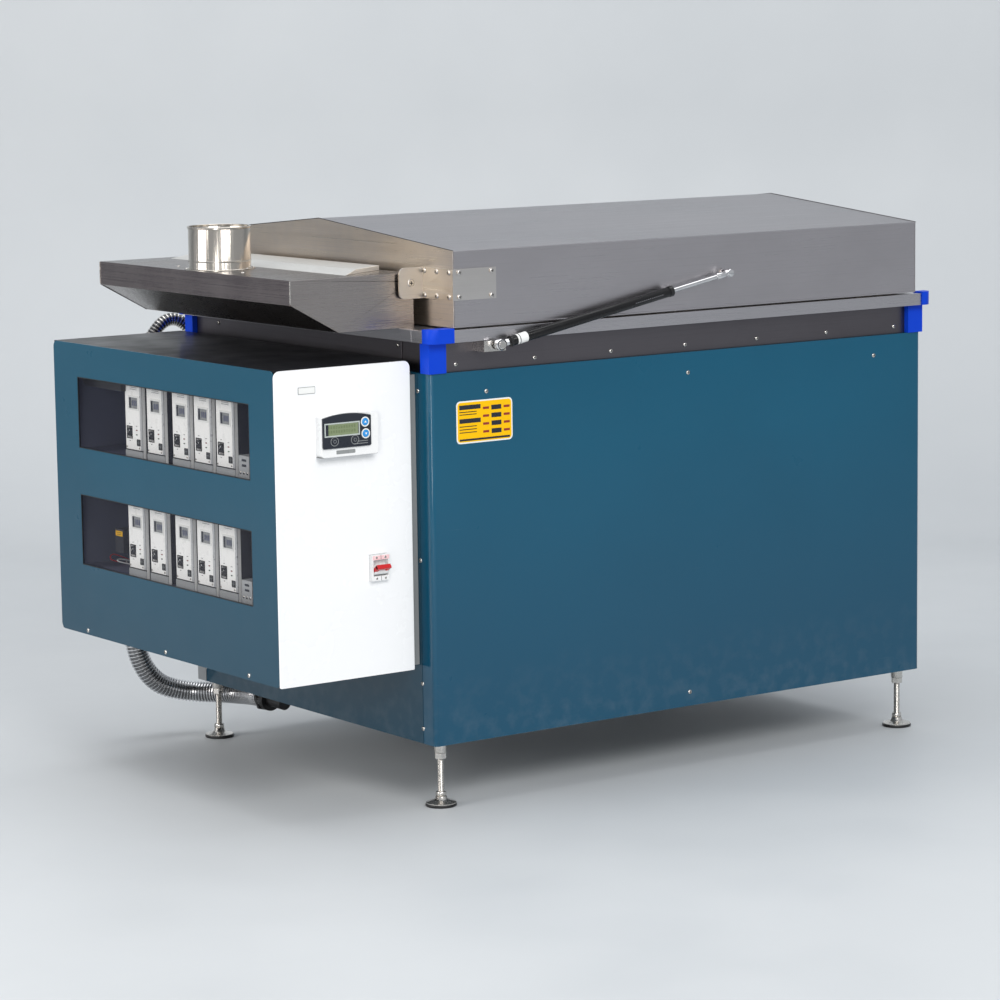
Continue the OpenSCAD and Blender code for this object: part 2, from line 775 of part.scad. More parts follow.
module side_cover() color(white) place() difference() {
    translate([cx0 - 1, cy0, cz0]) rotate([90, 0, 0]) linear_extrude(cover_t) {
        round_rect(box_l + 1, box_h, face_r);
        round_rect(box_l + 1, box_h / 2, 2);
    }
    block([brk_x - breaker_w / 2 - fit, cover_y - 1, brk_z - breaker_h / 2 - fit],
        [brk_x + breaker_w / 2 + fit, cy0 + 1, brk_z + breaker_h / 2 + fit]);
}

module window_panes() color([0.3, 0.3, 0.35, 0.3]) place() for (z = win_z)
    block([cx0 + face_t + joint / 3, win_y0 - pane_lap, z - pane_lap],
        [cx0 + face_t + pane_t, win_y1 + pane_lap, z + window_h + pane_lap]);

module module_shelves() color("dimgray") place() for (z = mod_z)
    block([mod_x0 - shelf_lip, cy0 + shelf_in, z - shelf_t], [mod_x0 + module_l + shelf_in, cy1 - shelf_in, z]);

module terminal_blocks() color("#c3c5c6") place() for (z = mod_z) {
    size = [47, 34, 43];
    at = [mod_x0 - 2, mod_y[4] - module_w / 2 - module_gap - size.y, z];
    block(at, at + size);
}

// Modules are counted from the rear, the upper row first
function module_y(i) = mod_y[i % 5];
function module_z(i) = mod_z[floor(i / 5)];

module rocker_box(i, grow, out) {
    y = module_y(i) + rocker_dy;
    z = module_z(i) + rocker_z;
    block([mod_x0 - out, y - rocker[0] / 2 - grow, z - rocker[1] / 2 - grow],
        [mod_x0 + 10, y + rocker[0] / 2 + grow, z + rocker[1] / 2 + grow]);
}

module power_modules() color(white) place() for (i = [0:9]) difference() {
    block([mod_x0, module_y(i) - module_w / 2, module_z(i)],
        [mod_x0 + module_l, module_y(i) + module_w / 2, module_z(i) + module_h]);
    rocker_box(i, 0.6, 1);
}

// A rocker is a cylinder on its own axis, cut flat at the sides and at the back
module module_rocker(i) color(dark) place() {
    y = module_y(i) + rocker_dy;
    z = module_z(i) + rocker_z;
    intersection() {
        translate([mod_x0 + 4, y - rocker[0] / 2, z]) rotate([-90, 0, 0])
            cylinder(h = rocker[0], r = 7.5);
        block([mod_x0 - 5, y - rocker[0] / 2, z - 7.5], [mod_x0 + 6, y + rocker[0] / 2, z + 7.5]);
    }
}

module arch_rect(w, h, rise, r) {
    R = (w * w / 4 + rise * rise) / (2 * rise);
    round_rect(w, h, r);
    intersection() {
        translate([w / 2, h + rise - R]) circle(R, $fn = 180);
        translate([0, h - r - 1]) square([w, rise + r + 2]);
    }
}

module controller_housing() color(white) place() difference() {
    translate([ctl_x0, cover_y, ctl_z0]) rotate([90, 0, 0]) linear_extrude(control_l)
        arch_rect(control_w, control_h, control_arch, 5);
    for (k = key_at)
        along_y([ctl_x0 + k.x, fascia_y - 1, fascia_z0 + k.y], 5 + key_travel, key_r + 0.3);
}

module controller_fascia() color("#1d2430") place() difference() {
    translate([ctl_x0 + 1, fascia_y, fascia_z0]) rotate([90, 0, 0]) linear_extrude(fascia_t)
        arch_rect(fascia_w, fascia_h, control_arch, 3);
    // recess of the display
    block([ctl_x0 + 12, fascia_y - fascia_t - 1, fascia_z0 + 22],
        [ctl_x0 + 72, fascia_y - fascia_t + 1, fascia_z0 + 42]);
    for (k = key_at)
        along_y([ctl_x0 + k.x, fascia_y - fascia_t - 1, fascia_z0 + k.y], fascia_t + 2, key_r + 0.2);
}

module key(i, c) color(c) place()
    along_y([ctl_x0 + key_at[i].x, fascia_y - fascia_t - key_travel - 0.4, fascia_z0 + key_at[i].y],
        fascia_t + key_travel + 2.4, key_r);

module breaker_body() color(white) place() difference() {
    block([brk_x - breaker_w / 2, cover_y - brk_nose, brk_z - breaker_h / 2],
        [brk_x + breaker_w / 2, cover_y + 60, brk_z + breaker_h / 2]);
    block([brk_x - breaker_w / 2 + 3, cover_y - brk_nose - 1, brk_z - 14],
        [brk_x + breaker_w / 2 - 3, tog_y + tog_r + 1, brk_z + 14]);
}

// The toggle: a hub along X, two levers and a bar across them, pointing up and out
module breaker_toggle() color("#c81e1e") place() translate([brk_x, tog_y, tog_z]) {
    w = breaker_w / 2 - 4;
    along_x([-w, 0, 0], 2 * w, tog_r);
    rotate([-35, 0, 0]) {
        for (x = [-w, w - 7]) block([x, -14, -3.5], [x + 7, 0, 3.5]);
        block([-w, -17, -4], [w, -12, 4]);
    }
}

module box_spacer() color("#a9aca9") place() {
    y0 = cy0 + 6;
    y1 = cy1 - 6;
    w = 30;
    lo = cz0 + 6;
    hi = z_panel - 3;
    for (s = [[y0, y0 + w, lo, hi], [y1 - w, y1, lo, hi],
            [y0 + w + joint, y1 - w - joint, lo, lo + w],
            [y0 + w + joint, y1 - w - joint, hi - w, hi]])
        block([cx1, s[0], s[2]], [-bx, s[1], s[3]]);
}

module conduits() color("#9b9ea3") place() {
    tube_along(low_route, low_conduit_d, [1, 0, 0]);
    tube_along(up_route, up_conduit_d, [1, 0, 0]);
}

module conduit_fittings() color("#2a2c30") place() {
    low_r = low_conduit_d / 2 + 4;
    up_r = up_conduit_d / 2 + 4;
    drop = 62;      // length of the elbow
    collar = 14;    // length of the elbow's nut
    elbow_r = 13;
    along_y([low_start.x, cy1, low_start.z], low_start.y - cy1, low_r);
    along_y([up_start.x, cy1, up_start.z], up_start.y - cy1, up_r);
    // elbow up into the floor pan
    along_y([low_end.x, low_end.y - collar, low_end.z], collar, low_r - 2);
    along_y([low_end.x, low_end.y - drop, low_end.z], drop - collar + 1, elbow_r);
    along_z([low_end.x, low_end.y - drop + elbow_r, low_end.z], z0 - low_end.z, elbow_r);
    // straight into the rear panel
    along_y([up_end.x, by, up_end.z], up_end.y - by, up_r);
}

// ---- Lid -------------------------------------------------------------------

module lid_outline(t) {
    polygon([[-ly + t, lz0 + t], [-ly + t, lz1 - t], [0, lz1 + ridge_rise - t],
        [ly - t, lz1 - t], [ly - t, lz0 + t]]);
}

// A slice of the lid's outline, from x0 to x1
module lid_slice(x0, x1, t) translate([x0, 0, 0]) rotate([90, 0, 90])
    linear_extrude(x1 - x0) lid_outline(t);

// One end plate with its bottom lip; side is 1 where the plate looks along -X
module lid_end(x, side) {
    lid_slice(side > 0 ? x : x - lid_t, side > 0 ? x + lid_t : x, 0);
    y = ly - lap - joint;
    x1 = x + side * lap;
    block([min(x, x1), -y, lz0], [max(x, x1), y, lz0 + lid_t]);
}

// The roof and the long walls are one bent sheet between two end plates
module lid_shell() color(steel) place() {
    difference() {
        lid_slice(lx0 + lid_t + joint, lx1 - lid_t - joint, 0);
        lid_slice(lx0, lx1, lid_t);
        // mouth between the bottom lips
        block([lx0 - 1, -ly + lap, lz0 - 1], [lx1 + 1, ly - lap, lz0 + lid_t + 1]);
    }
    difference() {
        lid_end(lx0, 1);
        vents(lx0 - 1, 5);
    }
    lid_end(lx1, -1);
}

module lid_insulation() color(board) place() {
    inner_x0 = lid_ix0 + lid_ins_t;
    inner_x1 = lid_ix1 - lid_ins_t;
    inner_y = lid_iy - lid_ins_t;
    for (j = [0, 1]) mirror([0, j, 0])
        block([lid_ix0, -lid_iy, lid_sole], [lid_ix1, -inner_y, lid_roof - joint]);
    difference() {
        union() {
            block([lid_ix0, -inner_y + joint, lid_sole], [inner_x0, inner_y - joint, lid_roof - joint]);
            block([inner_x1, -inner_y + joint, lid_sole], [lid_ix1, inner_y - joint, lid_roof - joint]);
        }
        lid_rods(joint);
        vents(lx0, lid_ins_t + 10);
    }
    block([lid_ix0, -lid_iy, lid_roof], [lid_ix1, lid_iy, lid_roof + roof_ins_t]);
}

module lid_elements() color("#4b4440") place() lid_rods(0);

module lid_seal() color("#f4f1ea") place() {
    out = 12;
    x0 = lx0 + lap + out;
    x1 = lx1 - lap - out;
    y = ly - lap - out;
    z = lid_sole - joint;
    for (j = [0, 1]) mirror([0, j, 0]) block([x0, -y, z - seal_h], [x1, -y + seal_w, z]);
    for (x = [x0, x1 - seal_w])
        block([x, -y + seal_w + joint, z - seal_h], [x + seal_w, y - seal_w - joint, z]);
}

// Plate round the lid's corner, with an ear bent out to the pivot
module lid_hinge_brackets() color("#b4b0ac") place() both_ends() {
    zlo = pz - bracket_h / 2;
    zhi = pz + bracket_h / 2;
    t = bracket_t;
    difference() {
        union() {
            block([lx0 - t, -ly - t, zlo], [lx0 + bracket_l, -ly, zhi]);
            block([lx0 - t, -ly - t, zlo], [lx0, -ear_y, zhi]);
            translate([px, -ear_y, pz]) rotate([90, 0, 0]) linear_extrude(t) {
                translate([-ear_reach, -bracket_h / 2]) round_rect(ear_reach + ear_r, bracket_h, ear_r);
                translate([0, -bracket_h / 2]) square([pivot_out, bracket_h]);
            }
        }
        along_y([px, -ear_y - t - 1, pz], t + 2, pin_r + run_fit);
    }
    // screws: two on the front plate in two columns, three columns on the end plate
    for (z = [zlo + 6, zhi - 6]) {
        for (x = [lx0 + 10, lx0 + bracket_l - 10]) head_y([x, -ly - t, z]);
        for (y = [-ly + 8, -(ly + ear_y) / 2, -ear_y - 8]) head_x([lx0 - t, y, z]);
    }
}

// ---- Gas struts --------------------------------------------------------------

module strut_frame() translate([sx, -sy, sz]) rotate([0, -strut_a, 0]) children();

module strut_brackets() color("silver") place() both_ends() {
    t = 3;
    x0 = sx - 27;
    x1 = sx + 19;
    out = sy - eye_w / 2 - 2.5;
    lo = sz - 12;
    hi = z_band - joint;
    block([x0, -band_y - t, lo], [x1, -band_y, hi]);
    block([x0, -out, lo], [x0 + t, -band_y, hi]);
    block([x0, -out, lo], [x1, -out + t, hi]);
    along_y([sx, -sy - eye_w / 2 - 3, sz], sy + eye_w / 2 + 3 - band_y - t, stud_r);
    along_y([sx, -sy - eye_w / 2 - 3, sz], 2.7, stud_r + 2.5);
}

module strut_tubes() color(dark) place() both_ends() strut_frame() {
    difference() {
        union() {
            along_y([0, -eye_w / 2, 0], eye_w, eye_r);
            along_x([eye_r - 2, 0, 0], tube_s0 - eye_r + 4, 5);
            along_x([tube_s0, 0, 0], tube_l, tube_r);
        }
        along_y([0, -eye_w / 2 - 1, 0], eye_w + 2, stud_r + run_fit);
        along_x([tube_s0 + 6, 0, 0], tube_l - 16, tube_bore);
        along_x([tube_s0 + tube_l - 12, 0, 0], 14, piston_rod_r + run_fit);
    }
}

module strut_rods() color(bright) place() both_ends() strut_frame() {
    neck = 12;
    rotate([0, 90, 0]) rotate_extrude() polygon([[0, piston_s], [tube_bore - run_fit, piston_s],
        [tube_bore - run_fit, piston_s + 10], [piston_rod_r, piston_s + 10],
        [piston_rod_r, strut_l - 30], [piston_rod_r + 2, strut_l - 30],
        [piston_rod_r + 2, strut_l - neck], [piston_rod_r - 1, strut_l - neck],
        [piston_rod_r - 1, strut_l - 5], [0, strut_l - 5]]);
    along_y([strut_l, -rod_eye_w / 2, 0], rod_eye_w, rod_eye_r);
    // stud towards the lid's wall
    along_y([strut_l, rod_eye_w / 2 - 1, 0], sy - ly - rod_eye_w / 2 + 0.5, stud_r);
}

// ---- Feet ----------------------------------------------------------------------

module foot(i, j) color("silver") place() translate([i * fx, j * fy, 0]) {
    rotate_extrude() polygon([[0, 0], [pad_r, 0], [pad_r, 5], [spindle_r + 3, pad_h],
        [spindle_r, pad_h + 6], [0, pad_h + 6]]);
    along_z([0, 0, pad_h], z_floor - 8 - pad_h, spindle_r);
}

base_frame();
floor_pan();
foot_sockets();
corner_posts();
front_panel();
rear_panel();
end_panels();
rim_band();
rim_flange();
rim_corner_caps();
chamber_insulation();
hearth_slab();
wall_elements();
thermocouple();
rating_plates();
panel_screws();
fume_hood();
hood_cover();
exhaust_collar();
hinge_pins();
control_box_chassis();
control_box_face();
side_cover();
window_panes();
module_shelves();
power_modules();
terminal_blocks();
controller_housing();
controller_fascia();
breaker_body();
box_spacer();
conduits();
conduit_fittings();
strut_brackets();
lid_shell();
lid_insulation();
lid_elements();
lid_seal();
lid_hinge_brackets();
strut_tubes();
strut_rods();
breaker_toggle();
key(0, "#2f8fd6");  // key_up
key(1, "#2f8fd6");  // key_down
key(2, "#2a323e");  // key_run
key(3, "#2a323e");  // key_stop
for (i = [0:9])
    module_rocker(i);
foot(-1, -1);  // foot_front_left
foot(1, -1);  // foot_front_right
foot(-1, 1);  // foot_rear_left
foot(1, 1);  // foot_rear_right
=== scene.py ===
"""Looks of the glass kiln: camera, stage, materials and detailed pieces around the CAD frame.

Metres, in the frame of the CAD part: +X towards the lid's free end, -Y the front, +Z up.
"""

import json
import math

import bmesh
import bpy
from mathutils import Matrix, Vector

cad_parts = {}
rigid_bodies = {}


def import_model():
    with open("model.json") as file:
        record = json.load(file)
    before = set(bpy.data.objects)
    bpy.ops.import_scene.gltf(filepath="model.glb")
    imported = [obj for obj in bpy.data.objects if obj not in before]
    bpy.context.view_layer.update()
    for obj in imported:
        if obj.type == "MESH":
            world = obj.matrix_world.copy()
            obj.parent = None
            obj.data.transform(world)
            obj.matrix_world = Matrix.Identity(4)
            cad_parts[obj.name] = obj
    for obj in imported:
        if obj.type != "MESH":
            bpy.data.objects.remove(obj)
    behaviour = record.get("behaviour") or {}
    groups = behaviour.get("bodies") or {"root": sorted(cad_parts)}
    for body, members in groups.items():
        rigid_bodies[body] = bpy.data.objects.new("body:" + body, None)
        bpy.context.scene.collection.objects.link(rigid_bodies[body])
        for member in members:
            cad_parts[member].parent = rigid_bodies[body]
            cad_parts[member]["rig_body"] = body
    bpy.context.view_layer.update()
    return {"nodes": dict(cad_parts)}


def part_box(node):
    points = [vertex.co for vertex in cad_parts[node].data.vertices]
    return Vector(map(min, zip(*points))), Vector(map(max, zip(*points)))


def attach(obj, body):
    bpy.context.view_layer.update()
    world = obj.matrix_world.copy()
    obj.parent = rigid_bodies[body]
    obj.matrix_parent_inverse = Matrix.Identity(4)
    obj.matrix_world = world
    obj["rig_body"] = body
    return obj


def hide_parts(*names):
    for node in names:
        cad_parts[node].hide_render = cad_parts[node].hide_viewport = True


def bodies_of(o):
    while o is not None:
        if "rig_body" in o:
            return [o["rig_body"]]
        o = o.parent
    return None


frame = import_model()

NODES = frame["nodes"]
MM = 0.001
UP = Vector((0, 0, 1))

# ---- Sizes shared with the CAD, in millimetres from the cabinet's middle on the floor ----

HALF_W, HALF_D = 565, 405
FLOOR_GAP = 113
PANEL_TOP = 763
BAND_Y, BAND_SCREW_Z = 397, 776
SEAM = 368.25
LID_X0, LID_X1 = -524, 538
LID_Y, LID_Z, EAVE_Z, RIDGE_Z = 421, 843, 973, 1012
PIVOT_X, PIVOT_Z = -552, 915
BRACKET_Y, BRACKET_X = 424, -527
HOOD_X, HOOD_Y, HOOD_TOP, HOOD_LOW = -793, 326, 932, 890.5
COLLAR_X, COLLAR_TOP = -733, 1008
BOX_X, BOX_MIDDLE_Y = -855, 17
WINDOW_Y, WINDOW_L, WINDOW_H = 313, 598, 131
WINDOW_SILLS = (594, 377)
SHELF_TOPS = (368, 585)
LOWER_FLOOR = 368.2
BREAKER_PIVOT = (-654, -374, 429)
STRUT_STUD = (-441, 440, 809)
STRUT_L, STRUT_REACH, STRUT_RISE = 518.8, 510, 95


def metres(pairs):
    """Pairs of millimetres, in metres."""
    return [(a * MM, b * MM) for a, b in pairs]

# ---- Camera ----------------------------------------------------------------

CAMERA_AT = (-3.739, -5.261, 1.379)
CAMERA_YAW = -35.58
CAMERA_PITCH = 8.10
CAMERA_ROLL = -0.80
LENS_MM = 124.0


def make_camera():
    yaw, pitch, roll = (math.radians(v) for v in (CAMERA_YAW, CAMERA_PITCH, CAMERA_ROLL))
    ahead = Vector((-math.sin(yaw) * math.cos(pitch), math.cos(yaw) * math.cos(pitch), -math.sin(pitch)))
    right = ahead.cross(UP).normalized()
    top = right.cross(ahead)
    side = math.cos(roll) * right + math.sin(roll) * top
    top = math.cos(roll) * top - math.sin(roll) * right
    data = bpy.data.cameras.new("camera")
    data.lens = LENS_MM
    data.clip_end = 60
    camera = bpy.data.objects.new("camera", data)
    bpy.context.scene.collection.objects.link(camera)
    camera.matrix_world = Matrix.Translation(CAMERA_AT) @ Matrix((side, top, -ahead)).transposed().to_4x4()
    bpy.context.scene.camera = camera


make_camera()

# ---- Material helpers --------------------------------------------------------


def srgb(code):
    """Linear colour of a #RRGGBB code."""
    parts = [int(code[i : i + 2], 16) / 255 for i in (1, 3, 5)]
    return tuple(v / 12.92 if v <= 0.04045 else ((v + 0.055) / 1.055) ** 2.4 for v in parts) + (1.0,)


class Look:
    """A Principled material, with short calls for the nodes that give it detail."""

    def __init__(self, name, color, rough, metal=0.0, **sockets):
        self.mat = bpy.data.materials.new(name)
        self.mat.use_nodes = True
        self.tree = self.mat.node_tree
        self.shader = self.tree.nodes["Principled BSDF"]
        self.color = srgb(color)
        self.shader.inputs["Base Color"].default_value = self.color
        self.shader.inputs["Roughness"].default_value = rough
        self.shader.inputs["Metallic"].default_value = metal
        for socket, value in sockets.items():
            self.shader.inputs[socket.replace("_", " ")].default_value = value
        self.coords = self.node("ShaderNodeTexCoord")
        self.paint = None
        self.height = None

    def node(self, kind, **settings):
        made = self.tree.nodes.new(kind)
        for key, value in settings.items():
            setattr(made, key, value)
        return made

    def join(self, value, socket):
        if isinstance(value, bpy.types.NodeSocket):
            self.tree.links.new(value, socket)
        else:
            socket.default_value = value

    def place(self, stretch):
        mapping = self.node("ShaderNodeMapping")
        mapping.inputs["Scale"].default_value = stretch
        self.join(self.coords.outputs["Object"], mapping.inputs["Vector"])
        return mapping.outputs["Vector"]

    def noise(self, scale, detail=3.0, stretch=(1, 1, 1), rough=0.5):
        tex = self.node("ShaderNodeTexNoise")
        tex.inputs["Scale"].default_value = scale
        tex.inputs["Detail"].default_value = detail
        tex.inputs["Roughness"].default_value = rough
        self.join(self.place(stretch), tex.inputs["Vector"])
        return tex.outputs["Fac"]

    def cells(self, scale):
        """Distance to the middle of the nearest cell."""
        tex = self.node("ShaderNodeTexVoronoi", feature="F1")
        tex.inputs["Scale"].default_value = scale
        self.join(self.place((1, 1, 1)), tex.inputs["Vector"])
        return tex.outputs["Distance"]

    def span(self, value, lo, hi, out_lo=0.0, out_hi=1.0):
        ranged = self.node("ShaderNodeMapRange")
        self.join(value, ranged.inputs["Value"])
        limits = {"From Min": lo, "From Max": hi, "To Min": out_lo, "To Max": out_hi}
        for socket, number in limits.items():
            ranged.inputs[socket].default_value = number
        return ranged.outputs["Result"]

    def math(self, kind, a, b=0.0):
        made = self.node("ShaderNodeMath", operation=kind)
        self.join(a, made.inputs[0])
        self.join(b, made.inputs[1])
        return made.outputs[0]

    def axis(self, source, letter):
        split = self.node("ShaderNodeSeparateXYZ")
        self.join(self.coords.outputs[source], split.inputs[0])
        return split.outputs[letter]

    def stain(self, mask, color):
        """Lays another colour over what is there, where mask is 1."""
        mix = self.node("ShaderNodeMix", data_type="RGBA")
        self.join(mask, mix.inputs[0])
        self.join(self.paint or self.color, mix.inputs[6])
        mix.inputs[7].default_value = srgb(color)
        self.paint = mix.outputs[2]

    def rough(self, value, lo, hi, out_lo, out_hi):
        self.join(self.span(value, lo, hi, out_lo, out_hi), self.shader.inputs["Roughness"])

    def bump(self, height, strength, depth):
        made = self.node("ShaderNodeBump")
        made.inputs["Strength"].default_value = strength
        made.inputs["Distance"].default_value = depth
        self.join(height, made.inputs["Height"])
        if self.height:
            self.join(self.height, made.inputs["Normal"])
        self.height = made.outputs["Normal"]

    def done(self):
        if self.paint:
            self.join(self.paint, self.shader.inputs["Base Color"])
        if self.height:
            self.join(self.height, self.shader.inputs["Normal"])
        return self.mat


def painted(name, color, darker, rough=0.32, peel=0.06, dust="#8d9699", coat=0.1, shine=0.3, shade=None):
    """Powder coat: orange peel, a faint unevenness, fine scuffs, dust low down, and shade near the floor."""
    look = Look(name, color, rough, Coat_Weight=coat, Coat_Roughness=0.07, Specular_IOR_Level=shine)
    uneven = look.noise(2.2, 4)
    look.stain(look.span(uneven, 0.35, 0.75, 0.0, 0.55), darker)
    if shade:
        look.stain(look.span(look.axis("Object", "Z"), 0.62, 0.20, 0.0, 0.8), shade)
    scuffs = look.noise(1.0, 5, (9, 9, 260), 0.6)
    look.stain(look.span(scuffs, 0.70, 0.78, 0.0, 0.07), dust)
    low = look.span(look.axis("Object", "Z"), FLOOR_GAP * MM, 0.26, 1.0, 0.0)
    specks = look.span(look.noise(38, 6), 0.45, 0.75)
    look.stain(look.math("MULTIPLY", look.math("MULTIPLY", low, specks), 0.10), dust)
    look.rough(look.noise(14, 5), 0.3, 0.7, rough - 0.05, rough + 0.09)
    look.bump(look.noise(420, 2), peel, 0.0004)
    look.bump(look.noise(1.3, 2), 0.12, 0.004)
    return look.done()


def brushed(name, color, stain, rough=0.30, depth=0.10, ends=None, top=None, metal=1.0):
    """Brushed sheet: the grain runs along X, and along Y on the faces that look along X.

    ends and top are painted light and shade: other colours for the faces that look along -X and up, for how
    the light falls on them.
    """
    look = Look(name, color, rough, metal)
    normal_x = look.math("ABSOLUTE", look.axis("Normal", "X"))
    turn = look.span(normal_x, 0.6, 0.8)
    grain = look.node("ShaderNodeMix", data_type="FLOAT")
    look.join(turn, grain.inputs[0])
    look.join(look.noise(1.0, 4, (3.5, 420, 420), 0.65), grain.inputs[2])
    look.join(look.noise(1.0, 4, (420, 3.5, 420), 0.65), grain.inputs[3])
    streak = grain.outputs[0]
    # Painted light and shade: end faces and top faces get their own colour.
    if ends:
        look.stain(look.span(look.axis("Normal", "X"), -0.6, -0.9), ends)
    if top:
        look.stain(look.span(look.axis("Normal", "Z"), 0.6, 0.9), top)
    clouds = look.noise(3.0, 5, (1, 2.2, 2.2), 0.6)
    look.stain(look.span(clouds, 0.42, 0.75, 0.0, 0.55), stain)
    look.stain(look.span(streak, 0.52, 0.72, 0.0, 0.35), stain)
    look.rough(look.math("ADD", look.math("MULTIPLY", streak, 0.7), look.math("MULTIPLY", clouds, 0.3)),
               0.3, 0.7, rough - 0.07, rough + 0.12)
    look.bump(streak, depth, 0.0006)
    look.bump(look.noise(2.4, 2), 0.10, 0.006)
    return look.done()


def bright_metal(name, color, rough, scratch=0.06, metal=1.0):
    """Plated or drawn metal, with thin stains and fine scratches."""
    look = Look(name, color, rough, metal)
    look.stain(look.span(look.noise(60, 4), 0.5, 0.8, 0.0, 0.22), "#5b5a58")
    look.rough(look.noise(180, 4), 0.35, 0.7, rough - 0.03, rough + 0.06)
    look.bump(look.noise(900, 3, (1, 1, 0.2)), scratch, 0.0001)
    return look.done()


def moulded(name, color, rough=0.38, grain=0.12, fade="#9aa0a4", **sockets):
    """Moulded plastic or film, a little faded in places, with a fine grain."""
    look = Look(name, color, rough, **sockets)
    look.stain(look.span(look.noise(25, 4), 0.55, 0.85, 0.0, 0.10), fade)
    look.rough(look.noise(60, 4), 0.35, 0.7, rough - 0.05, rough + 0.10)
    look.bump(look.noise(2600, 2), grain, 0.0002)
    look.bump(look.noise(30, 2), 0.05, 0.0006)
    return look.done()


def fired(name, color, stain, grit, depth):
    """Ceramic fibre and fired clay: a matt, pitted, unevenly stained surface."""
    look = Look(name, color, 0.92)
    look.stain(look.span(look.noise(7, 6, rough=0.65), 0.42, 0.8, 0.0, 0.6), stain)
    look.stain(look.span(look.noise(170, 5), 0.55, 0.8, 0.0, 0.35), "#8c7a66")
    look.rough(look.noise(40, 4), 0.3, 0.7, 0.84, 0.98)
    look.bump(look.noise(grit, 6, (1, 1, 2.2), 0.7), 0.5, depth)
    look.bump(look.span(look.cells(grit * 0.6), 0.0, 0.25), 0.3, depth)
    return look.done()


def cast_floor(name, color, darker):
    look = Look(name, color, 0.55)
    look.stain(look.span(look.noise(0.9, 5, rough=0.6), 0.4, 0.75, 0.0, 0.5), darker)
    look.rough(look.noise(2.5, 4), 0.3, 0.7, 0.40, 0.58)
    look.bump(look.noise(160, 3), 0.05, 0.001)
    return look.done()


def tinted_pane(name):
    """A clear pane that darkens what is behind it."""
    look = Look(name, "#3a3c4c", 0.06, Alpha=0.10, Coat_Weight=1.0, Coat_Roughness=0.03)
    look.stain(look.span(look.noise(9, 4), 0.45, 0.8, 0.0, 0.5), "#4a4c5e")
    look.rough(look.noise(30, 4), 0.4, 0.8, 0.04, 0.16)
    look.bump(look.noise(5, 1), 0.03, 0.002)
    return look.done()


TEAL = painted("teal powder coat", "#0b526d", "#094962", peel=0.03, shade="#094560", coat=0.7, shine=0.1)
TEAL_SIDE = painted("teal powder coat in shade", "#124c63", "#0f4257", peel=0.03, shade="#08364a",
                    coat=0.6, shine=0.1)
WHITE = painted("white powder coat", "#f4f5f6", "#eceef0", rough=0.24, peel=0.04, dust="#d4d7d8",
                coat=0.5, shine=0.5)
# Painted shade, in part: the black chassis also stands for the shade and dark reflection on the box's top
# under the fume hood.
BLACK_WITH_PAINTED_SHADE = painted("black enamel with painted shade", "#0d0e12", "#141418", rough=0.34, peel=0.03, dust="#26262a",
                coat=0.05, shine=0.2)
GREY = painted("grey powder coat", "#8d9194", "#7f8487", rough=0.38)
PRIMER = painted("dark primer", "#33373a", "#292d30", rough=0.5, coat=0.0)
SPACER = painted("spacer paint", "#888b8c", "#75787a", rough=0.35)
SLATE = painted("slate liner", "#565a70", "#4a4d5f", rough=0.5, dust="#4a4c58", coat=0.0)
# Painted light and shade on the lid: beige end faces for light, a darker top for shade.
STEEL = brushed("brushed stainless", "#bab7ba", "#a5a2a5", ends="#cfc2b3", top="#8f8d92")
# Painted shade: the band's stainless is darkened for the shadow under the rim and the lid.
STEEL_BAND_PAINTED_SHADE = brushed("brushed stainless of the band in painted shade", "#6a676b", "#5c585c", rough=0.34)
STEEL_RIM = brushed("brushed stainless of the rim", "#c0bec1", "#b0aeb1", rough=0.28)
# Painted shade on the hood: darker end faces and a darker top.
STEEL_HOOD = brushed("brushed stainless of the hood", "#a8a29f", "#938c8a", rough=0.26,
                     ends="#7d7475", top="#6f6b6b")
STEEL_STRIP = brushed("pale stainless strip", "#d9d9d6", "#c9c8c4", rough=0.36, metal=0.7)
# Painted light: the brackets' end faces are beige.
PLATE_STEEL = brushed("zinc plate", "#cfccc9", "#bdb9b5", rough=0.33, ends="#c9bba9")
POLISHED = brushed("polished collar", "#bdb8b0", "#a59f97", rough=0.16, depth=0.05)
# Painted shade: the screw recess is a dark inlay standing for the shade in the recess.
RECESS_PAINTED_SHADE = bright_metal("screw recess in painted shade", "#55534f", 0.4)
ZINC = bright_metal("zinc plating", "#d3d0cb", 0.24)
CHROME = bright_metal("chrome", "#d8d8d9", 0.12)
CONDUIT = bright_metal("galvanised conduit", "#cfd0d2", 0.20, 0.1)
# Painted shade: the grooves of the lower conduit are darker than its crests.
CONDUIT_GROOVE_PAINTED_SHADE = bright_metal("conduit grooves in painted shade", "#77787a", 0.3, 0.05)
# The upper conduit's core is its own dark tone with painted shade in the grooves.
CONDUIT_DARK_WITH_GROOVE_SHADE = bright_metal("dark conduit with painted groove shade", "#4d4f53", 0.26, 0.1)
BLUE = moulded("blue plastic", "#003ec6", rough=0.45, fade="#1650d2", Specular_IOR_Level=0.2)
MODULE_WHITE = moulded("module white", "#fbfbf9", rough=0.30, fade="#e8e8e4")
CREAM = moulded("white moulding", "#eceded", rough=0.28, grain=0.05, fade="#dcdedf")
INK = moulded("dark moulding", "#1d222c", rough=0.30, grain=0.05, fade="#2d333f")
SOOT = moulded("black moulding", "#121214", rough=0.36, fade="#26262a")
KEY_BLUE = moulded("blue key", "#2f8fd6", rough=0.30, grain=0.05, fade="#6db3e6")
RED = moulded("red moulding", "#c4161c", rough=0.30, grain=0.05, fade="#d5403f")
LCD = moulded("display glass", "#7d8a66", rough=0.16, grain=0.02, fade="#69755a", Coat_Weight=0.8)
LCD_GREY = moulded("small display glass", "#8c8f8f", rough=0.2, grain=0.02, fade="#6d7070", Coat_Weight=0.6)
LAMP_RED = moulded("red lamp", "#7c2a26", rough=0.2, grain=0.02, Coat_Weight=0.8)
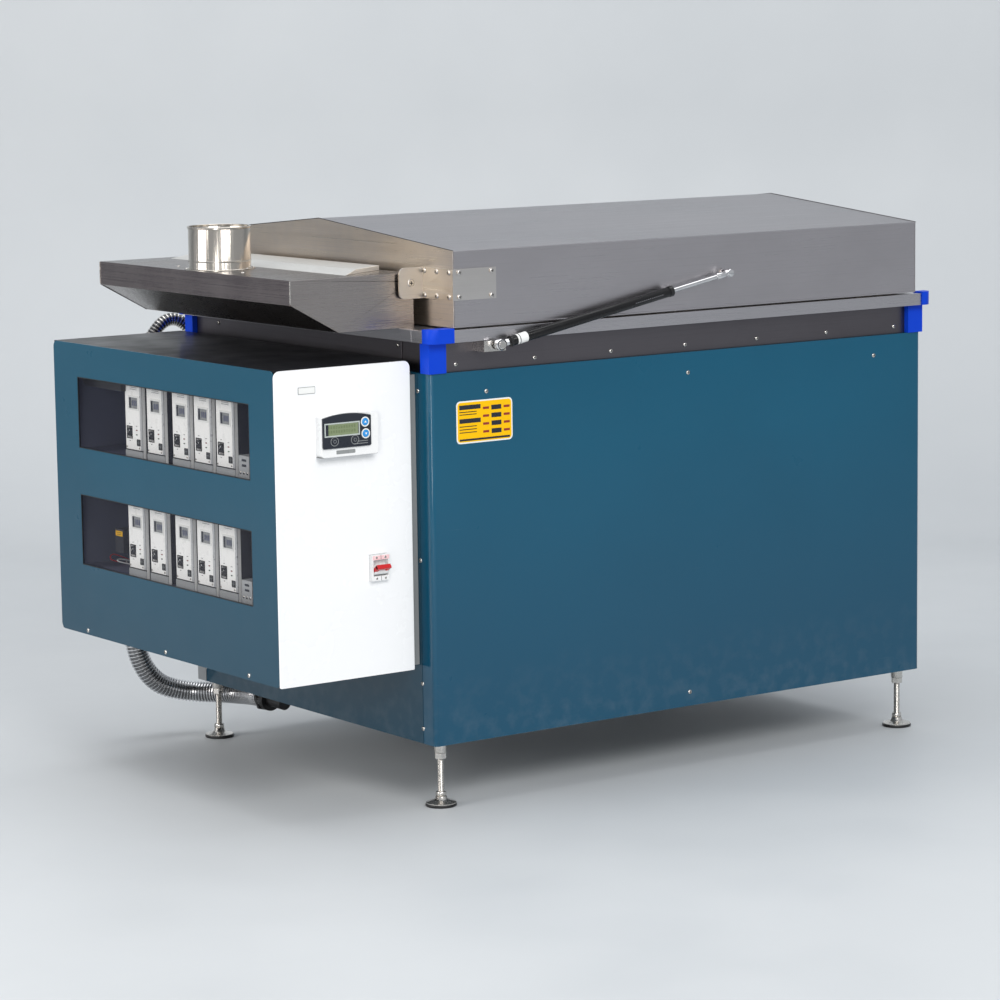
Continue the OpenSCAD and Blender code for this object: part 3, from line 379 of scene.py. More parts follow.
LAMP_GREEN = moulded("green lamp", "#2c5a3a", rough=0.2, grain=0.02, Coat_Weight=0.8)
LINER = moulded("dark case side", "#24252c", rough=0.45, fade="#33343c")
RED_INK = moulded("dark red print", "#8c2a22", rough=0.34, grain=0.03, fade="#a2453c")
PINK = moulded("pink film", "#f0c9cb", rough=0.32, grain=0.04, fade="#e6b9bc")
MODULE_GREY = moulded("module strip", "#a9acae", rough=0.34, fade="#8f9294")
MODULE_EDGE = bright_metal("module flange", "#cfd0d1", 0.3, metal=0.5)
LCD_FRAME = moulded("display frame", "#b9c0bd", rough=0.3, grain=0.04, fade="#9aa19e")
PRINT = moulded("worn print", "#6d6d72", rough=0.5, fade="#4a4a4e")
LCD_INK = moulded("display cells", "#6d7a58", rough=0.2, grain=0.02, fade="#5f6b4c")
YELLOW = moulded("yellow film", "#f4bd00", rough=0.4, grain=0.04, fade="#e6ae00", Specular_IOR_Level=0.2)
PAPER = moulded("white film", "#e9eae8", rough=0.4, grain=0.04, fade="#d4d6d4")
STRUT_BLACK = moulded("strut enamel", "#08080a", rough=0.3, grain=0.02, fade="#18181b", Coat_Weight=0.15,
                      Specular_IOR_Level=0.3)
BOARD = fired("fibre board", "#e6dfcf", "#c9b898", 130, 0.0015)
HEARTH = fired("hearth slab", "#b8a58c", "#97836a", 240, 0.0008)
PROBE = fired("probe sheath", "#d6cbb9", "#b09c80", 400, 0.0004)
ROPE = fired("ceramic rope", "#eae5da", "#d2c8b4", 500, 0.0012)
ELEMENT = bright_metal("oxidised element", "#57504a", 0.55, 0.2, metal=0.6)
PANE = tinted_pane("tinted pane")

# ---- Stage and lights --------------------------------------------------------


def make_stage():
    """A floor that curves up into a plain wall behind the object, seen square on."""
    depth, radius, height, half = 3.4, 1.1, 6.0, 11.0
    profile = [(-9.0, 0.0), (depth - radius, 0.0)]
    for k in range(1, 13):
        a = math.pi / 2 * k / 12
        profile.append((depth - radius + radius * math.sin(a), radius - radius * math.cos(a)))
    profile.append((depth, height))
    turn = Matrix.Rotation(math.radians(CAMERA_YAW), 4, "Z")
    mesh = bpy.data.meshes.new("stage")
    verts = [turn @ Vector((s * half, y, z)) for y, z in profile for s in (-1, 1)]
    faces = [(2 * i, 2 * i + 1, 2 * i + 3, 2 * i + 2) for i in range(len(profile) - 1)]
    mesh.from_pydata(verts, [], faces)
    mesh.shade_smooth()
    mesh.materials.append(cast_floor("floor", "#c3c7ca", "#b8bdc1"))
    stage = bpy.data.objects.new("stage", mesh)
    bpy.context.scene.collection.objects.link(stage)


def area_light(name, at, target, size, power, color=(1, 1, 1)):
    data = bpy.data.lights.new(name, "AREA")
    data.shape = "RECTANGLE"
    data.size, data.size_y = size
    data.energy = power
    data.color = color
    lamp = bpy.data.objects.new(name, data)
    lamp.location = at
    lamp.rotation_euler = (Vector(target) - Vector(at)).to_track_quat("-Z", "Y").to_euler()
    bpy.context.scene.collection.objects.link(lamp)


def make_lights():
    world = bpy.data.worlds.new("studio")
    world.use_nodes = True
    background = world.node_tree.nodes["Background"]
    background.inputs["Color"].default_value = (0.92, 0.95, 1.0, 1)
    background.inputs["Strength"].default_value = 0.55
    bpy.context.scene.world = world
    area_light("key", (-1.5, -5.2, 3.9), (0.2, 0, 0.5), (3.2, 2.2), 190, (1.0, 0.985, 0.96))
    area_light("top", (0.3, 0.4, 4.2), (0.2, 0, 0.6), (4.2, 3.4), 85)
    area_light("side", (-4.6, 0.8, 2.2), (-0.3, 0, 0.5), (2.4, 2.6), 105, (1.0, 0.95, 0.90))
    area_light("strip", (-4.6, -4.3, 1.5), (-0.5, 0, 0.8), (1.1, 2.4), 60, (1.0, 0.97, 0.93))
    bpy.context.scene.view_settings.view_transform = "Standard"


make_stage()
make_lights()

# ---- Shape helpers -------------------------------------------------------------


class Form:
    """Gathers closed shapes, each in its material, into one piece."""

    def __init__(self, name):
        self.name = name
        self.shapes = bmesh.new()
        self.looks = []

    def absorb(self, part, look):
        """Takes a finished shape in, with its faces turned outwards."""
        if look not in self.looks:
            self.looks.append(look)
        index = self.looks.index(look)
        bmesh.ops.recalc_face_normals(part, faces=part.faces)
        twin = {v: self.shapes.verts.new(v.co) for v in part.verts}
        for face in part.faces:
            made = self.shapes.faces.new([twin[v] for v in face.verts])
            made.material_index = index
            made.smooth = True
        part.free()

    def box(self, lo, hi, look, soft):
        part = bmesh.new()
        bmesh.ops.create_cube(part, size=1.0)
        size = Vector(hi) - Vector(lo)
        middle = (Vector(hi) + Vector(lo)) / 2
        for v in part.verts:
            v.co = Vector(c * s for c, s in zip(v.co, size)) + middle
        bmesh.ops.bevel(part, geom=part.edges[:], offset=soft, segments=2, affect="EDGES")
        self.absorb(part, look)

    def lathe(self, at, axis, profile, look, sides=32):
        """A solid of revolution: profile lists (distance along the axis, radius), from radius 0 to 0."""
        along = Vector(axis).normalized()
        first = along.orthogonal().normalized()
        second = along.cross(first)
        part = bmesh.new()
        rings = []
        for d, r in profile:
            middle = Vector(at) + along * d
            if r <= 0:
                rings.append([part.verts.new(middle)])
                continue
            ring = []
            for k in range(sides):
                a = 2 * math.pi * k / sides
                ring.append(part.verts.new(middle + r * (math.cos(a) * first + math.sin(a) * second)))
            rings.append(ring)
        for a, b in zip(rings, rings[1:]):
            for k in range(sides):
                n = (k + 1) % sides
                if len(a) == 1:
                    part.faces.new([a[0], b[k], b[n]])
                elif len(b) == 1:
                    part.faces.new([a[k], a[n], b[0]])
                else:
                    part.faces.new([a[k], a[n], b[n], b[k]])
        self.absorb(part, look)

    def ring(self, at, axis, inner, outer, height, look, sides=32):
        """A flat washer of the given height."""
        along = Vector(axis).normalized()
        first = along.orthogonal().normalized()
        second = along.cross(first)
        edge = min(height, outer - inner) * 0.3
        section = [(0, inner), (0, outer), (height - edge, outer), (height, outer - edge),
                   (height, inner + edge), (height - edge, inner)]
        part = bmesh.new()
        rows = []
        for k in range(sides):
            a = 2 * math.pi * k / sides
            out = math.cos(a) * first + math.sin(a) * second
            rows.append([part.verts.new(Vector(at) + along * d + out * r) for d, r in section])
        for k in range(sides):
            row, after = rows[k], rows[(k + 1) % sides]
            for i in range(len(section)):
                j = (i + 1) % len(section)
                part.faces.new([row[i], row[j], after[j], after[i]])
        self.absorb(part, look)

    def prism(self, outline, origin, u, v, depth, look, soft=0.0):
        """An outline of (a, b) points on the plane of u and v, pushed out along depth."""
        part = bmesh.new()
        push = Vector(depth)
        base = [part.verts.new(Vector(origin) + a * Vector(u) + b * Vector(v)) for a, b in outline]
        roof = [part.verts.new(p.co + push) for p in base]
        part.faces.new(base)
        part.faces.new(roof)
        for k in range(len(base)):
            n = (k + 1) % len(base)
            part.faces.new([base[k], base[n], roof[n], roof[k]])
        if soft:
            rim = [e for e in part.edges if all(p in roof for p in e.verts)]
            bmesh.ops.bevel(part, geom=rim, offset=soft, segments=2, affect="EDGES")
        self.absorb(part, look)

    def tube(self, route, radius, look, sides=20):
        """A round tube along close points; radius is a number or a function of the point's index."""
        part = bmesh.new()
        side = (route[1] - route[0]).orthogonal().normalized()
        rings = []
        for i, p in enumerate(route):
            heading = (route[min(i + 1, len(route) - 1)] - route[max(i - 1, 0)]).normalized()
            side = (side - heading * side.dot(heading)).normalized()
            other = heading.cross(side)
            r = radius(i) if callable(radius) else radius
            angles = [2 * math.pi * k / sides for k in range(sides)]
            rings.append([part.verts.new(p + r * (math.cos(a) * side + math.sin(a) * other)) for a in angles])
        for a, b in zip(rings, rings[1:]):
            for k in range(sides):
                n = (k + 1) % sides
                part.faces.new([a[k], a[n], b[n], b[k]])
        part.faces.new(rings[0])
        part.faces.new(rings[-1])
        self.absorb(part, look)

    def done(self, body, slot, *stands_for, sharp=38):
        mesh = bpy.data.meshes.new(self.name)
        self.shapes.to_mesh(mesh)
        self.shapes.free()
        for look in self.looks:
            mesh.materials.append(look)
        mesh.set_sharp_from_angle(angle=math.radians(sharp))
        piece = bpy.data.objects.new(self.name, mesh)
        bpy.context.scene.collection.objects.link(piece)
        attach(piece, body)
        if stands_for:
            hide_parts(*stands_for)
        return piece


def along_curve(points, step):
    """Close, evenly spaced points on a smooth curve through the given ones."""
    points = [Vector(p) for p in points]
    padded = [2 * points[0] - points[1], *points, 2 * points[-1] - points[-2]]
    fine = []
    for i in range(1, len(padded) - 2):
        a, b, c, d = padded[i - 1 : i + 3]
        for k in range(24):
            t = k / 24
            square, cube = (2 * a - 5 * b + 4 * c - d) * t**2, (3 * b - a - 3 * c + d) * t**3
            fine.append(0.5 * (2 * b + (c - a) * t + square + cube))
    fine.append(points[-1])
    length = sum((q - p).length for p, q in zip(fine, fine[1:]))
    count = max(2, round(length / step))
    even, walked, goal = [fine[0]], 0.0, length / count
    for p, q in zip(fine, fine[1:]):
        gap = (q - p).length
        while walked + gap >= goal * len(even) - 1e-9 and len(even) < count:
            even.append(p.lerp(q, (goal * len(even) - walked) / gap))
        walked += gap
    even.append(fine[-1])
    return even


def chamfered(radius, height, edge_r, edge_h):
    """Profile of a plug or nut with chamfered ends."""
    low, high = radius - edge_r, height - edge_h
    return [(0, 0), (0, low), (edge_h, radius), (high, radius), (height, low), (height, 0)]


def cross_outline(reach, half):
    """A plus sign about the origin, from one arm's corner to the next."""
    corner, outline = [(reach, half), (half, half), (half, reach)], []
    for _ in range(4):
        outline += corner
        corner = [(-b, a) for a, b in corner]
    return outline


def soften(node, width, look):
    """Rounds a CAD node's edges with modifiers and gives it its material."""
    piece = NODES[node]
    piece.data.materials.clear()
    piece.data.materials.append(look)
    weld = piece.modifiers.new("weld", "WELD")
    weld.merge_threshold = 0.00002
    edge = piece.modifiers.new("edge", "BEVEL")
    edge.width = width
    edge.segments = 2
    edge.limit_method = "ANGLE"
    edge.angle_limit = math.radians(33)
    edge.harden_normals = True


def place_of(node):
    """A node's lowest corner, highest corner and middle."""
    lo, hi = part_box(node)
    return lo, hi, (lo + hi) / 2


# ---- CAD nodes that keep their shape -------------------------------------------

for node, width, look in (
    ("base_frame", 0.0015, PRIMER), ("floor_pan", 0.0004, GREY), ("corner_posts", 0.0004, PRIMER),
    ("front_panel", 0.0006, TEAL), ("rear_panel", 0.0006, GREY), ("end_panels", 0.0005, TEAL_SIDE),
    ("rim_band", 0.0005, STEEL_BAND_PAINTED_SHADE), ("rim_flange", 0.0006, STEEL_RIM), ("rim_corner_caps", 0.0015, BLUE),
    ("chamber_insulation", 0.001, BOARD), ("hearth_slab", 0.002, HEARTH), ("thermocouple", 0.0008, PROBE),
    ("fume_hood", 0.0006, STEEL_HOOD), ("hood_cover", 0.0008, STEEL_STRIP),
    # control_box_chassis in black: in part painted shade under the fume hood.
    ("control_box_chassis", 0.0005, BLACK_WITH_PAINTED_SHADE), ("control_box_face", 0.0006, TEAL_SIDE),
    ("side_cover", 0.0008, WHITE), ("power_modules", 0.001, MODULE_WHITE), ("window_panes", 0.0003, PANE),
    ("module_shelves", 0.0005, SLATE), ("terminal_blocks", 0.001, MODULE_GREY),
    ("box_spacer", 0.0006, SPACER), ("lid_shell", 0.0006, STEEL), ("lid_insulation", 0.001, BOARD),
    ("lid_seal", 0.0015, ROPE), ("strut_brackets", 0.0006, ZINC),
    ("lid_hinge_brackets", 0.0008, PLATE_STEEL), ("controller_housing", 0.0012, CREAM),
    ("controller_fascia", 0.0004, INK), ("breaker_body", 0.0005, CREAM), ("foot_sockets", 0.0006, ZINC),
    ("rating_plates", 0.0002, PAPER),
):
    soften(node, width, look)

for node, look in (
    ("exhaust_collar", POLISHED), ("hinge_pins", ZINC), ("conduit_fittings", SOOT),
    ("wall_elements", ELEMENT), ("lid_elements", ELEMENT), ("strut_tubes", STRUT_BLACK),
    ("strut_rods", CHROME),
):
    soften(node, 0.0003, look)

# ---- Drawing on faces ------------------------------------------------------------

SHIFT = place_of("end_panels")[2]
SHIFT.z = 0.0
FRONT = (Vector((1, 0, 0)), UP)
BACK = (Vector((-1, 0, 0)), UP)
LEFT = (Vector((0, -1, 0)), UP)
RIGHT = (Vector((0, 1, 0)), UP)


def spot(x, y, z):
    """A place in millimetres from the middle of the cabinet on the floor."""
    return Vector((x, y, z)) * MM + SHIFT


def rounded(w, h, r, steps=6):
    """Outline of a rectangle with round corners, about its middle."""
    if not r:
        return [(w / 2, h / 2), (-w / 2, h / 2), (-w / 2, -h / 2), (w / 2, -h / 2)]
    points = []
    for k, (i, j) in enumerate(((1, 1), (-1, 1), (-1, -1), (1, -1))):
        for n in range(steps + 1):
            a = math.pi / 2 * (k + n / steps)
            points.append((i * (w / 2 - r) + r * math.cos(a), j * (h / 2 - r) + r * math.sin(a)))
    return points


class Plane:
    """Draws on a face in millimetres: along its two directions from the origin, and outwards."""

    def __init__(self, form, origin, directions):
        self.form, self.origin = form, Vector(origin)
        self.u, self.v = directions
        self.out = self.u.cross(self.v)

    def at(self, u, v, out=0.0):
        return self.origin + (self.u * u + self.v * v + self.out * out) * MM

    def slab(self, u0, u1, v0, v1, base, top, look, r=0.0, soft=0.15):
        """A plate from base to top, with corners of radius r and an edge rounded by soft."""
        outline = metres(rounded(u1 - u0, v1 - v0, r))
        middle = self.at((u0 + u1) / 2, (v0 + v1) / 2, base)
        self.form.prism(outline, middle, self.u, self.v, self.out * (top - base) * MM, look, soft * MM)

    def frame(self, u0, u1, v0, v1, wide, base, top, look):
        """Four bars round a rectangle, inside its edges."""
        self.slab(u0, u1, v1 - wide, v1, base, top, look)
        self.slab(u0, u1, v0, v0 + wide, base, top, look)
        self.slab(u0, u0 + wide, v0 + wide, v1 - wide, base, top, look)
        self.slab(u1 - wide, u1, v0 + wide, v1 - wide, base, top, look)

    def screw(self, u, v, radius=4.0, height=2.2, look=ZINC, turn=0.4):
        """A domed head with a cross recess, drawn as a dark cross inlay: painted shade in the recess."""
        r, h = radius * MM, height * MM
        foot = self.at(u, v)
        dome = ((0, 0), (0, 1), (0.35, 1), (0.70, 0.88), (0.92, 0.60), (1, 0.3), (1, 0))
        self.form.lathe(foot, self.out, [(d * h, wide * r) for d, wide in dome], look, 20)
        c, s = math.cos(turn), math.sin(turn)
        side, up = self.u * c + self.v * s, self.v * c - self.u * s
        cross = cross_outline(0.58 * r, 0.13 * r)
        self.form.prism(cross, foot + self.out * h * 0.6, side, up, self.out * h * 0.46, RECESS_PAINTED_SHADE)


def body_of(node):
    """The body that a node rides."""
    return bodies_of(NODES[node])[0]


# ---- Conduits ----------------------------------------------------------------------


def corrugated(route, radius, depth, pitch, look, crest, form):
    """A tube with a bright ring at every pitch; the darker tube between the rings carries painted shade in
    the grooves.
    """
    line = along_curve(route, pitch * MM / 6)
    form.tube(line, (radius - depth) * MM, look, 22)
    inner, height = (radius - depth - 0.3) * MM, pitch * 0.4 * MM
    for i in range(3, len(line) - 3, 6):
        heading = (line[i + 1] - line[i - 1]).normalized()
        form.ring(line[i] - heading * height / 2, heading, inner, radius * MM, height, crest, 22)


def make_conduits():
    """Both conduits, from the cabinet's rear left corner."""
    low_corner, up_corner = spot(-HALF_W, HALF_D, FLOOR_GAP), spot(-HALF_W, HALF_D, PANEL_TOP)
    low = [(-95, 20, 187), (-95, 30, 187), (-95, 50, 177), (-96, 63, 155), (-96, 69, 122), (-95, 69, 82),
           (-87, 69, 45), (-70, 67, 11), (-43, 65, -15), (-10, 57, -29), (22, 40, -35), (50, 8, -35),
           (65, -30, -33), (69, -70, -29), (64, -115, -24), (57, -148, -21), (57, -165, -21)]
    up = [(-75, 20, -73), (-75, 29, -73), (-75, 46, -62), (-74, 55, -44), (-65, 59, -20), (-46, 62, 5),
          (-25, 63, 28), (-2, 63, 39), (20, 58, 34), (37, 51, 15), (47, 46, -5), (51, 40, -20),
          (51, 31, -28), (51, 23, -28)]
    form = Form("corrugated_conduits")
    # Lower conduit: its darker core is painted shade in the grooves.
    corrugated([low_corner + Vector(p) * MM for p in low], 20, 2.6, 6.5, CONDUIT_GROOVE_PAINTED_SHADE, CONDUIT, form)
    # Upper conduit: its dark core is partly its own tone and partly painted shade in the grooves.
    corrugated([up_corner + Vector(p) * MM for p in up], 12.5, 1.6, 6.5, CONDUIT_DARK_WITH_GROOVE_SHADE, ZINC, form)
    form.done("root", "conduit_steel", "conduits")
    nuts = Form("gland_nuts")
    back, forward = Vector((0, 1, 0)), Vector((0, -1, 0))
    for corner, end, r, way in ((low_corner, low[0], 27, back), (up_corner, up[0], 19, back),
                                (up_corner, up[-1], 19, forward), (low_corner, low[-1], 25, forward)):
        middle = corner + Vector(end) * MM - way * 0.009
        nuts.lathe(middle, way, chamfered((r + 1) * MM, 0.008, 0.001, 0.001), SOOT, 6)
        nuts.ring(middle + way * 0.0085, way, (r - 8) * MM, (r - 3) * MM, 0.004, ZINC, 28)
    nuts.done("root", "zinc")


make_conduits()

# ---- Cabinet details -----------------------------------------------------------------


def make_screws():
    """Heads on the band, the panels, the control box and the lid's brackets."""
    form = Form("cross_head_screws")
    band = Plane(form, spot(0, -BAND_Y, BAND_SCREW_Z), FRONT)
    for k in range(-3, 4):
        band.screw(k * 505 / 3, 0, turn=0.3 + k)
    face = Plane(form, spot(0, -HALF_D, 0), FRONT)
    for u, v in ((-447, 726), (0, 726), (447, 726), (0, 139)):
        face.screw(u, v, turn=u)
    left = Plane(form, spot(-HALF_W, 0, FLOOR_GAP), LEFT)
    right = Plane(form, spot(HALF_W, 0, FLOOR_GAP), RIGHT)
    for v in (27, 107, 324, 619):
        left.screw(SEAM, v, turn=v)
        hidden_by_box = v > 126
        if not hidden_by_box:
            left.screw(-SEAM, v, turn=v)
        for j in (-1, 1):
            right.screw(j * SEAM, v, turn=v * j)
    box = Plane(form, spot(BOX_X, BOX_MIDDLE_Y, 255), LEFT)
    for k in (-1, 0, 1):
        box.screw(-283 * k, 0, turn=k)
    doubler = Plane(form, spot(-559, 0, 806), LEFT)
    for j in (-1, 1):
        doubler.screw(300 * j, 0)
    form.done("root", "bright_steel", "panel_screws")

    heads = Form("bracket_screw_heads")
    for j in (-1, 1):
        along_wall = FRONT if j < 0 else BACK
        for z in (894, 936):
            for x in (-514, -446):
                wall = Plane(heads, spot(x, j * BRACKET_Y, z), along_wall)
                wall.screw(0, 0, 4.5, 2.9, PLATE_STEEL)
            for y in (413, 376, 339):
                gable = Plane(heads, spot(BRACKET_X, j * y, z), LEFT)
                gable.screw(0, 0, 4.5, 2.9, PLATE_STEEL, turn=y)
    heads.done(body_of("lid_hinge_brackets"), "bright_steel")


def make_pivots():
    """Flush pivot bolts through the ears, and their spacers."""
    form = Form("pivot_bolts")
    bolt = metres([(0, 0), (0, 4.5), (0.5, 5), (18.3, 5), (18.3, 6.8), (19, 6.8), (19.5, 6.2), (19.5, 0)])
    recess = metres(cross_outline(3.6, 0.8))
    for j in (-1, 1):
        way = Vector((0, j, 0))
        form.lathe(spot(PIVOT_X, j * 316, PIVOT_Z), way, bolt, ZINC, 28)
        form.ring(spot(PIVOT_X, j * 326.2, PIVOT_Z), way, 0.0052, 0.009, 0.0044, ZINC, 28)
        # Painted shade: the black cross on the bolt's end stands for the shade in its recess.
        form.prism(recess, spot(PIVOT_X, j * 335.3, PIVOT_Z), FRONT[0], UP, way * 0.0004, SOOT)
    form.done("root", "zinc", "hinge_pins")


def make_rating_plates():
    """A yellow plate with bars for its lines of print, and a small blank plate on the white cover."""
    form = Form("rating_plates_detail")
    plate = Plane(form, spot(-511, -HALF_D, 638), FRONT)
    w, h = 119.0, 74.0
    plate.slab(0, w, 0, h, 0, 0.5, PAPER, 8)
    plate.slab(2.5, w - 2.5, 2.5, h - 2.5, 0.4, 0.8, YELLOW, 6)
    for down in (0.15, 0.47):
        v = h * (1 - down)
        plate.slab(0.05 * w, 0.43 * w, v - 4, v + 4, 0.7, 0.95, INK)
    for down in (0.26, 0.32, 0.60, 0.67, 0.74):
        v = h * (1 - down)
        plate.slab(0.05 * w, 0.36 * w, v - 0.9, v + 0.9, 0.7, 0.9, SOOT)
    plate.slab(0.05 * w, 0.95 * w, 0.06 * h, 0.11 * h, 0.7, 0.95, INK)
    for k in range(4):
        v = h * (0.80 - 0.185 * k)
        plate.slab(0.47 * w, 0.58 * w, v - 2.2, v + 2.2, 0.7, 0.9, RED_INK)
        plate.slab(0.62 * w, 0.80 * w, v - 4.2, v + 4.2, 0.7, 0.9, INK)
        plate.slab(0.84 * w, 0.95 * w, v - 2.2, v + 2.2, 0.7, 0.9, RED_INK)
    badge = Plane(form, spot(-809, -369, 744), FRONT)
    badge.slab(0, 34, 0, 12, 0, 0.7, LCD_GREY, 1)
    badge.slab(0.9, 33.1, 0.9, 11.1, 0.6, 0.9, PAPER, 0.6)
    form.done("root", "yellow_plate", "rating_plates")


def make_hood_details():
    """Rolled collar rim, base flange and rivets, hood hems and corner seams."""
    form = Form("collar_and_hood_details")
    axis = spot(COLLAR_X, 0, 0)
    for z, inner, outer, height in ((COLLAR_TOP - 3.2, 53.4, 56.6, 3.6), (HOOD_TOP, 55.2, 62.5, 2.4),
                                    (HOOD_TOP + 14, 54.9, 55.8, 3)):
        form.ring(spot(COLLAR_X, 0, z), UP, inner * MM, outer * MM, height * MM, POLISHED, 64)
    head = [(0, 0), (0, 0.0021), (0.0008, 0.0018), (0.0013, 0.0009), (0.0014, 0)]
    for k in range(8):
        a = math.pi / 4 * (k + 0.5)
        rivet = axis + Vector((math.cos(a) * 0.0588, math.sin(a) * 0.0588, 0.9342))
        form.lathe(rivet, UP, head, ZINC, 14)
    seam_x, seam_y = 0.0552 * math.cos(2.2), 0.0552 * math.sin(2.2)
    weld = [axis + Vector((seam_x, seam_y, z * MM)) for z in range(936, 1005, 4)]
    form.tube(weld, lambda i: 0.0008 + 0.00025 * (i % 2), POLISHED, 8)
    roof = Plane(form, spot(HOOD_X, 0, HOOD_TOP), (FRONT[0], RIGHT[0]))
    for u, v in ((40, -110), (40, 110), (205, -150), (205, 150)):
        roof.screw(u, v, 3.0, 1.6)
    for j in (-1, 1):
        corner = j * HOOD_Y
        form.box(spot(HOOD_X - 1.2, corner - 0.8, 892), spot(HOOD_X + 0.8, corner + 0.8, 931), ZINC, 0.0004)
        hem = [spot(HOOD_X + 0.5, j * 326.3, HOOD_LOW), spot(-697, j * 326.3, 838.5)]
        form.tube([hem[0].lerp(hem[1], k / 6) for k in range(7)], 0.0011, STEEL_HOOD, 10)
    low_edge = [spot(HOOD_X - 0.2, y, HOOD_LOW + 0.1) for y in range(-325, 326, 50)]
    form.tube(low_edge, 0.0012, STEEL_HOOD, 10)
    form.done("root", "stainless")


def make_lid_seams():
    """Dark joints along the gable edges, and the folded edge under the eaves."""
    form = Form("lid_seams")
    strip = metres([(0, 0), (1.1, 0), (1.1, 0.9), (0, 0.9)])
    for x in (LID_X0 - 0.4, LID_X1 - 0.6):
        for j in (-1, 1):
            eave, ridge = spot(x, j * LID_Y, EAVE_Z), spot(x, 0, RIDGE_Z)
            run = ridge - eave
            normal = Vector((0, -run.z, run.y)).normalized() * (1 if run.y > 0 else -1)
            form.prism(strip, eave, FRONT[0], normal, run, SOOT)
    for j in (-1, 1):
        for y, z, radius in ((LID_Y + 0.2, EAVE_Z - 1.2, 0.0009), (LID_Y + 0.1, LID_Z + 0.2, 0.0008)):
            line = [spot(x, j * y, z) for x in (LID_X0 + 0.5, 0, LID_X1 - 0.5)]
            form.tube(line, radius, STEEL, 8)
    form.done(body_of("lid_shell"), "stainless")


make_screws()
make_pivots()
make_rating_plates()
make_hood_details()
make_lid_seams()

# ---- Power modules -------------------------------------------------------------------


def module_front(form, number):
    """Displays, lamps, socket and strips on the face of one module."""
    rocker = place_of(f"module_rocker_{number}")[2]
    face_x = place_of("power_modules")[0].x
    p = Plane(form, (face_x, rocker.y - 0.016, rocker.z - 0.048), LEFT)
    p.frame(-18, 18, 89, 115, 3, -0.2, 1.2, PAPER)
    p.slab(-15, 15, 92, 112, -0.2, 0.5, LCD_GREY)
    p.slab(-15, -9, 92, 112, 0.4, 0.8, INK)
    for k in range(3):
        p.slab(-5 + 6.2 * k, -0.6 + 6.2 * k, 97, 107, 0.4, 0.7, SLATE)
    p.frame(-25.6, -6.4, 36.6, 59.4, 1.7, -0.2, 1.0, SOOT)
    p.slab(-18, -14, 63, 64, -0.1, 0.3, INK)
    p.slab(-18, -14, 32, 33, -0.1, 0.3, INK)
    p.slab(6.5, 11.5, 52, 54, -0.1, 0.6, LAMP_RED, 0.8)
    p.slab(6.5, 11.5, 44, 46, -0.1, 0.6, LAMP_GREEN, 0.8)
    p.slab(6.5, 11.5, 60, 61, -0.1, 0.3, INK)
    p.slab(9, 21, 25, 37, -0.1, 0.8, SOOT, 1)
    p.slab(10.5, 19.5, 30.5, 31.5, 0.7, 1.0, LCD_GREY)
    p.slab(14.5, 15.5, 26.5, 35.5, 0.7, 1.0, LCD_GREY)
    p.slab(-31, 31, 0, 15, -0.2, 1.6, MODULE_GREY, 0, 0.4)
    p.slab(-31, 31, 15.2, 17.2, -0.2, 0.6, SOOT)
    p.slab(23.5, 31, 17.4, 154, -0.2, 1.4, MODULE_EDGE, 0, 0.4)
    p.slab(22.3, 23.3, 17.4, 154, -0.2, 0.4, INK)
    for u, v in ((-27, 148), (18, 148), (-27, 21), (18, 21)):
        p.screw(u, v, 1.9, 1.1, turn=u + v)
    for k in range(5):
        p.slab(-12, 12, 126 + 3.4 * k, 127.3 + 3.4 * k, -0.1, 0.35, MODULE_GREY)
    for u in (-31.9, 31):
        p.slab(u, u + 0.9, 0.5, 153.5, -149, -6, LINER)
        for k in range(7):
            p.slab(u - 0.5, u + 1.4, 22, 146, -28 - 16 * k, -24 - 16 * k, LINER)


def rocker_switch(number):
    """A rocker with a hollow face and a pale mark, turning on its pivot."""
    node = f"module_rocker_{number}"
    lo, hi, middle = place_of(node)
    pivot = Vector((place_of("power_modules")[0].x + 0.004, lo.y, middle.z))
    form = Form(f"rocker_{number}")
    outline = [(2, -7), (2, 7), (-4.2, 7.0), (-5.9, 6.3), (-5.6, 5.4), (-3.8, 0), (-5.6, -5.4), (-5.9, -6.3),
               (-4.2, -7)]
    gap = 0.0002
    depth = (0, hi.y - lo.y - 2 * gap, 0)
    form.prism(metres(outline), pivot + Vector((0, gap, 0)), (1, 0, 0), UP, depth, SOOT)
    mark = Plane(form, Vector((pivot.x, middle.y, pivot.z)), LEFT)
    mark.slab(-0.5, 0.5, 2.2, 4.6, 3.9, 5.5, PAPER, 0, 0)
    form.done(body_of(node), "dark_plastic", node)


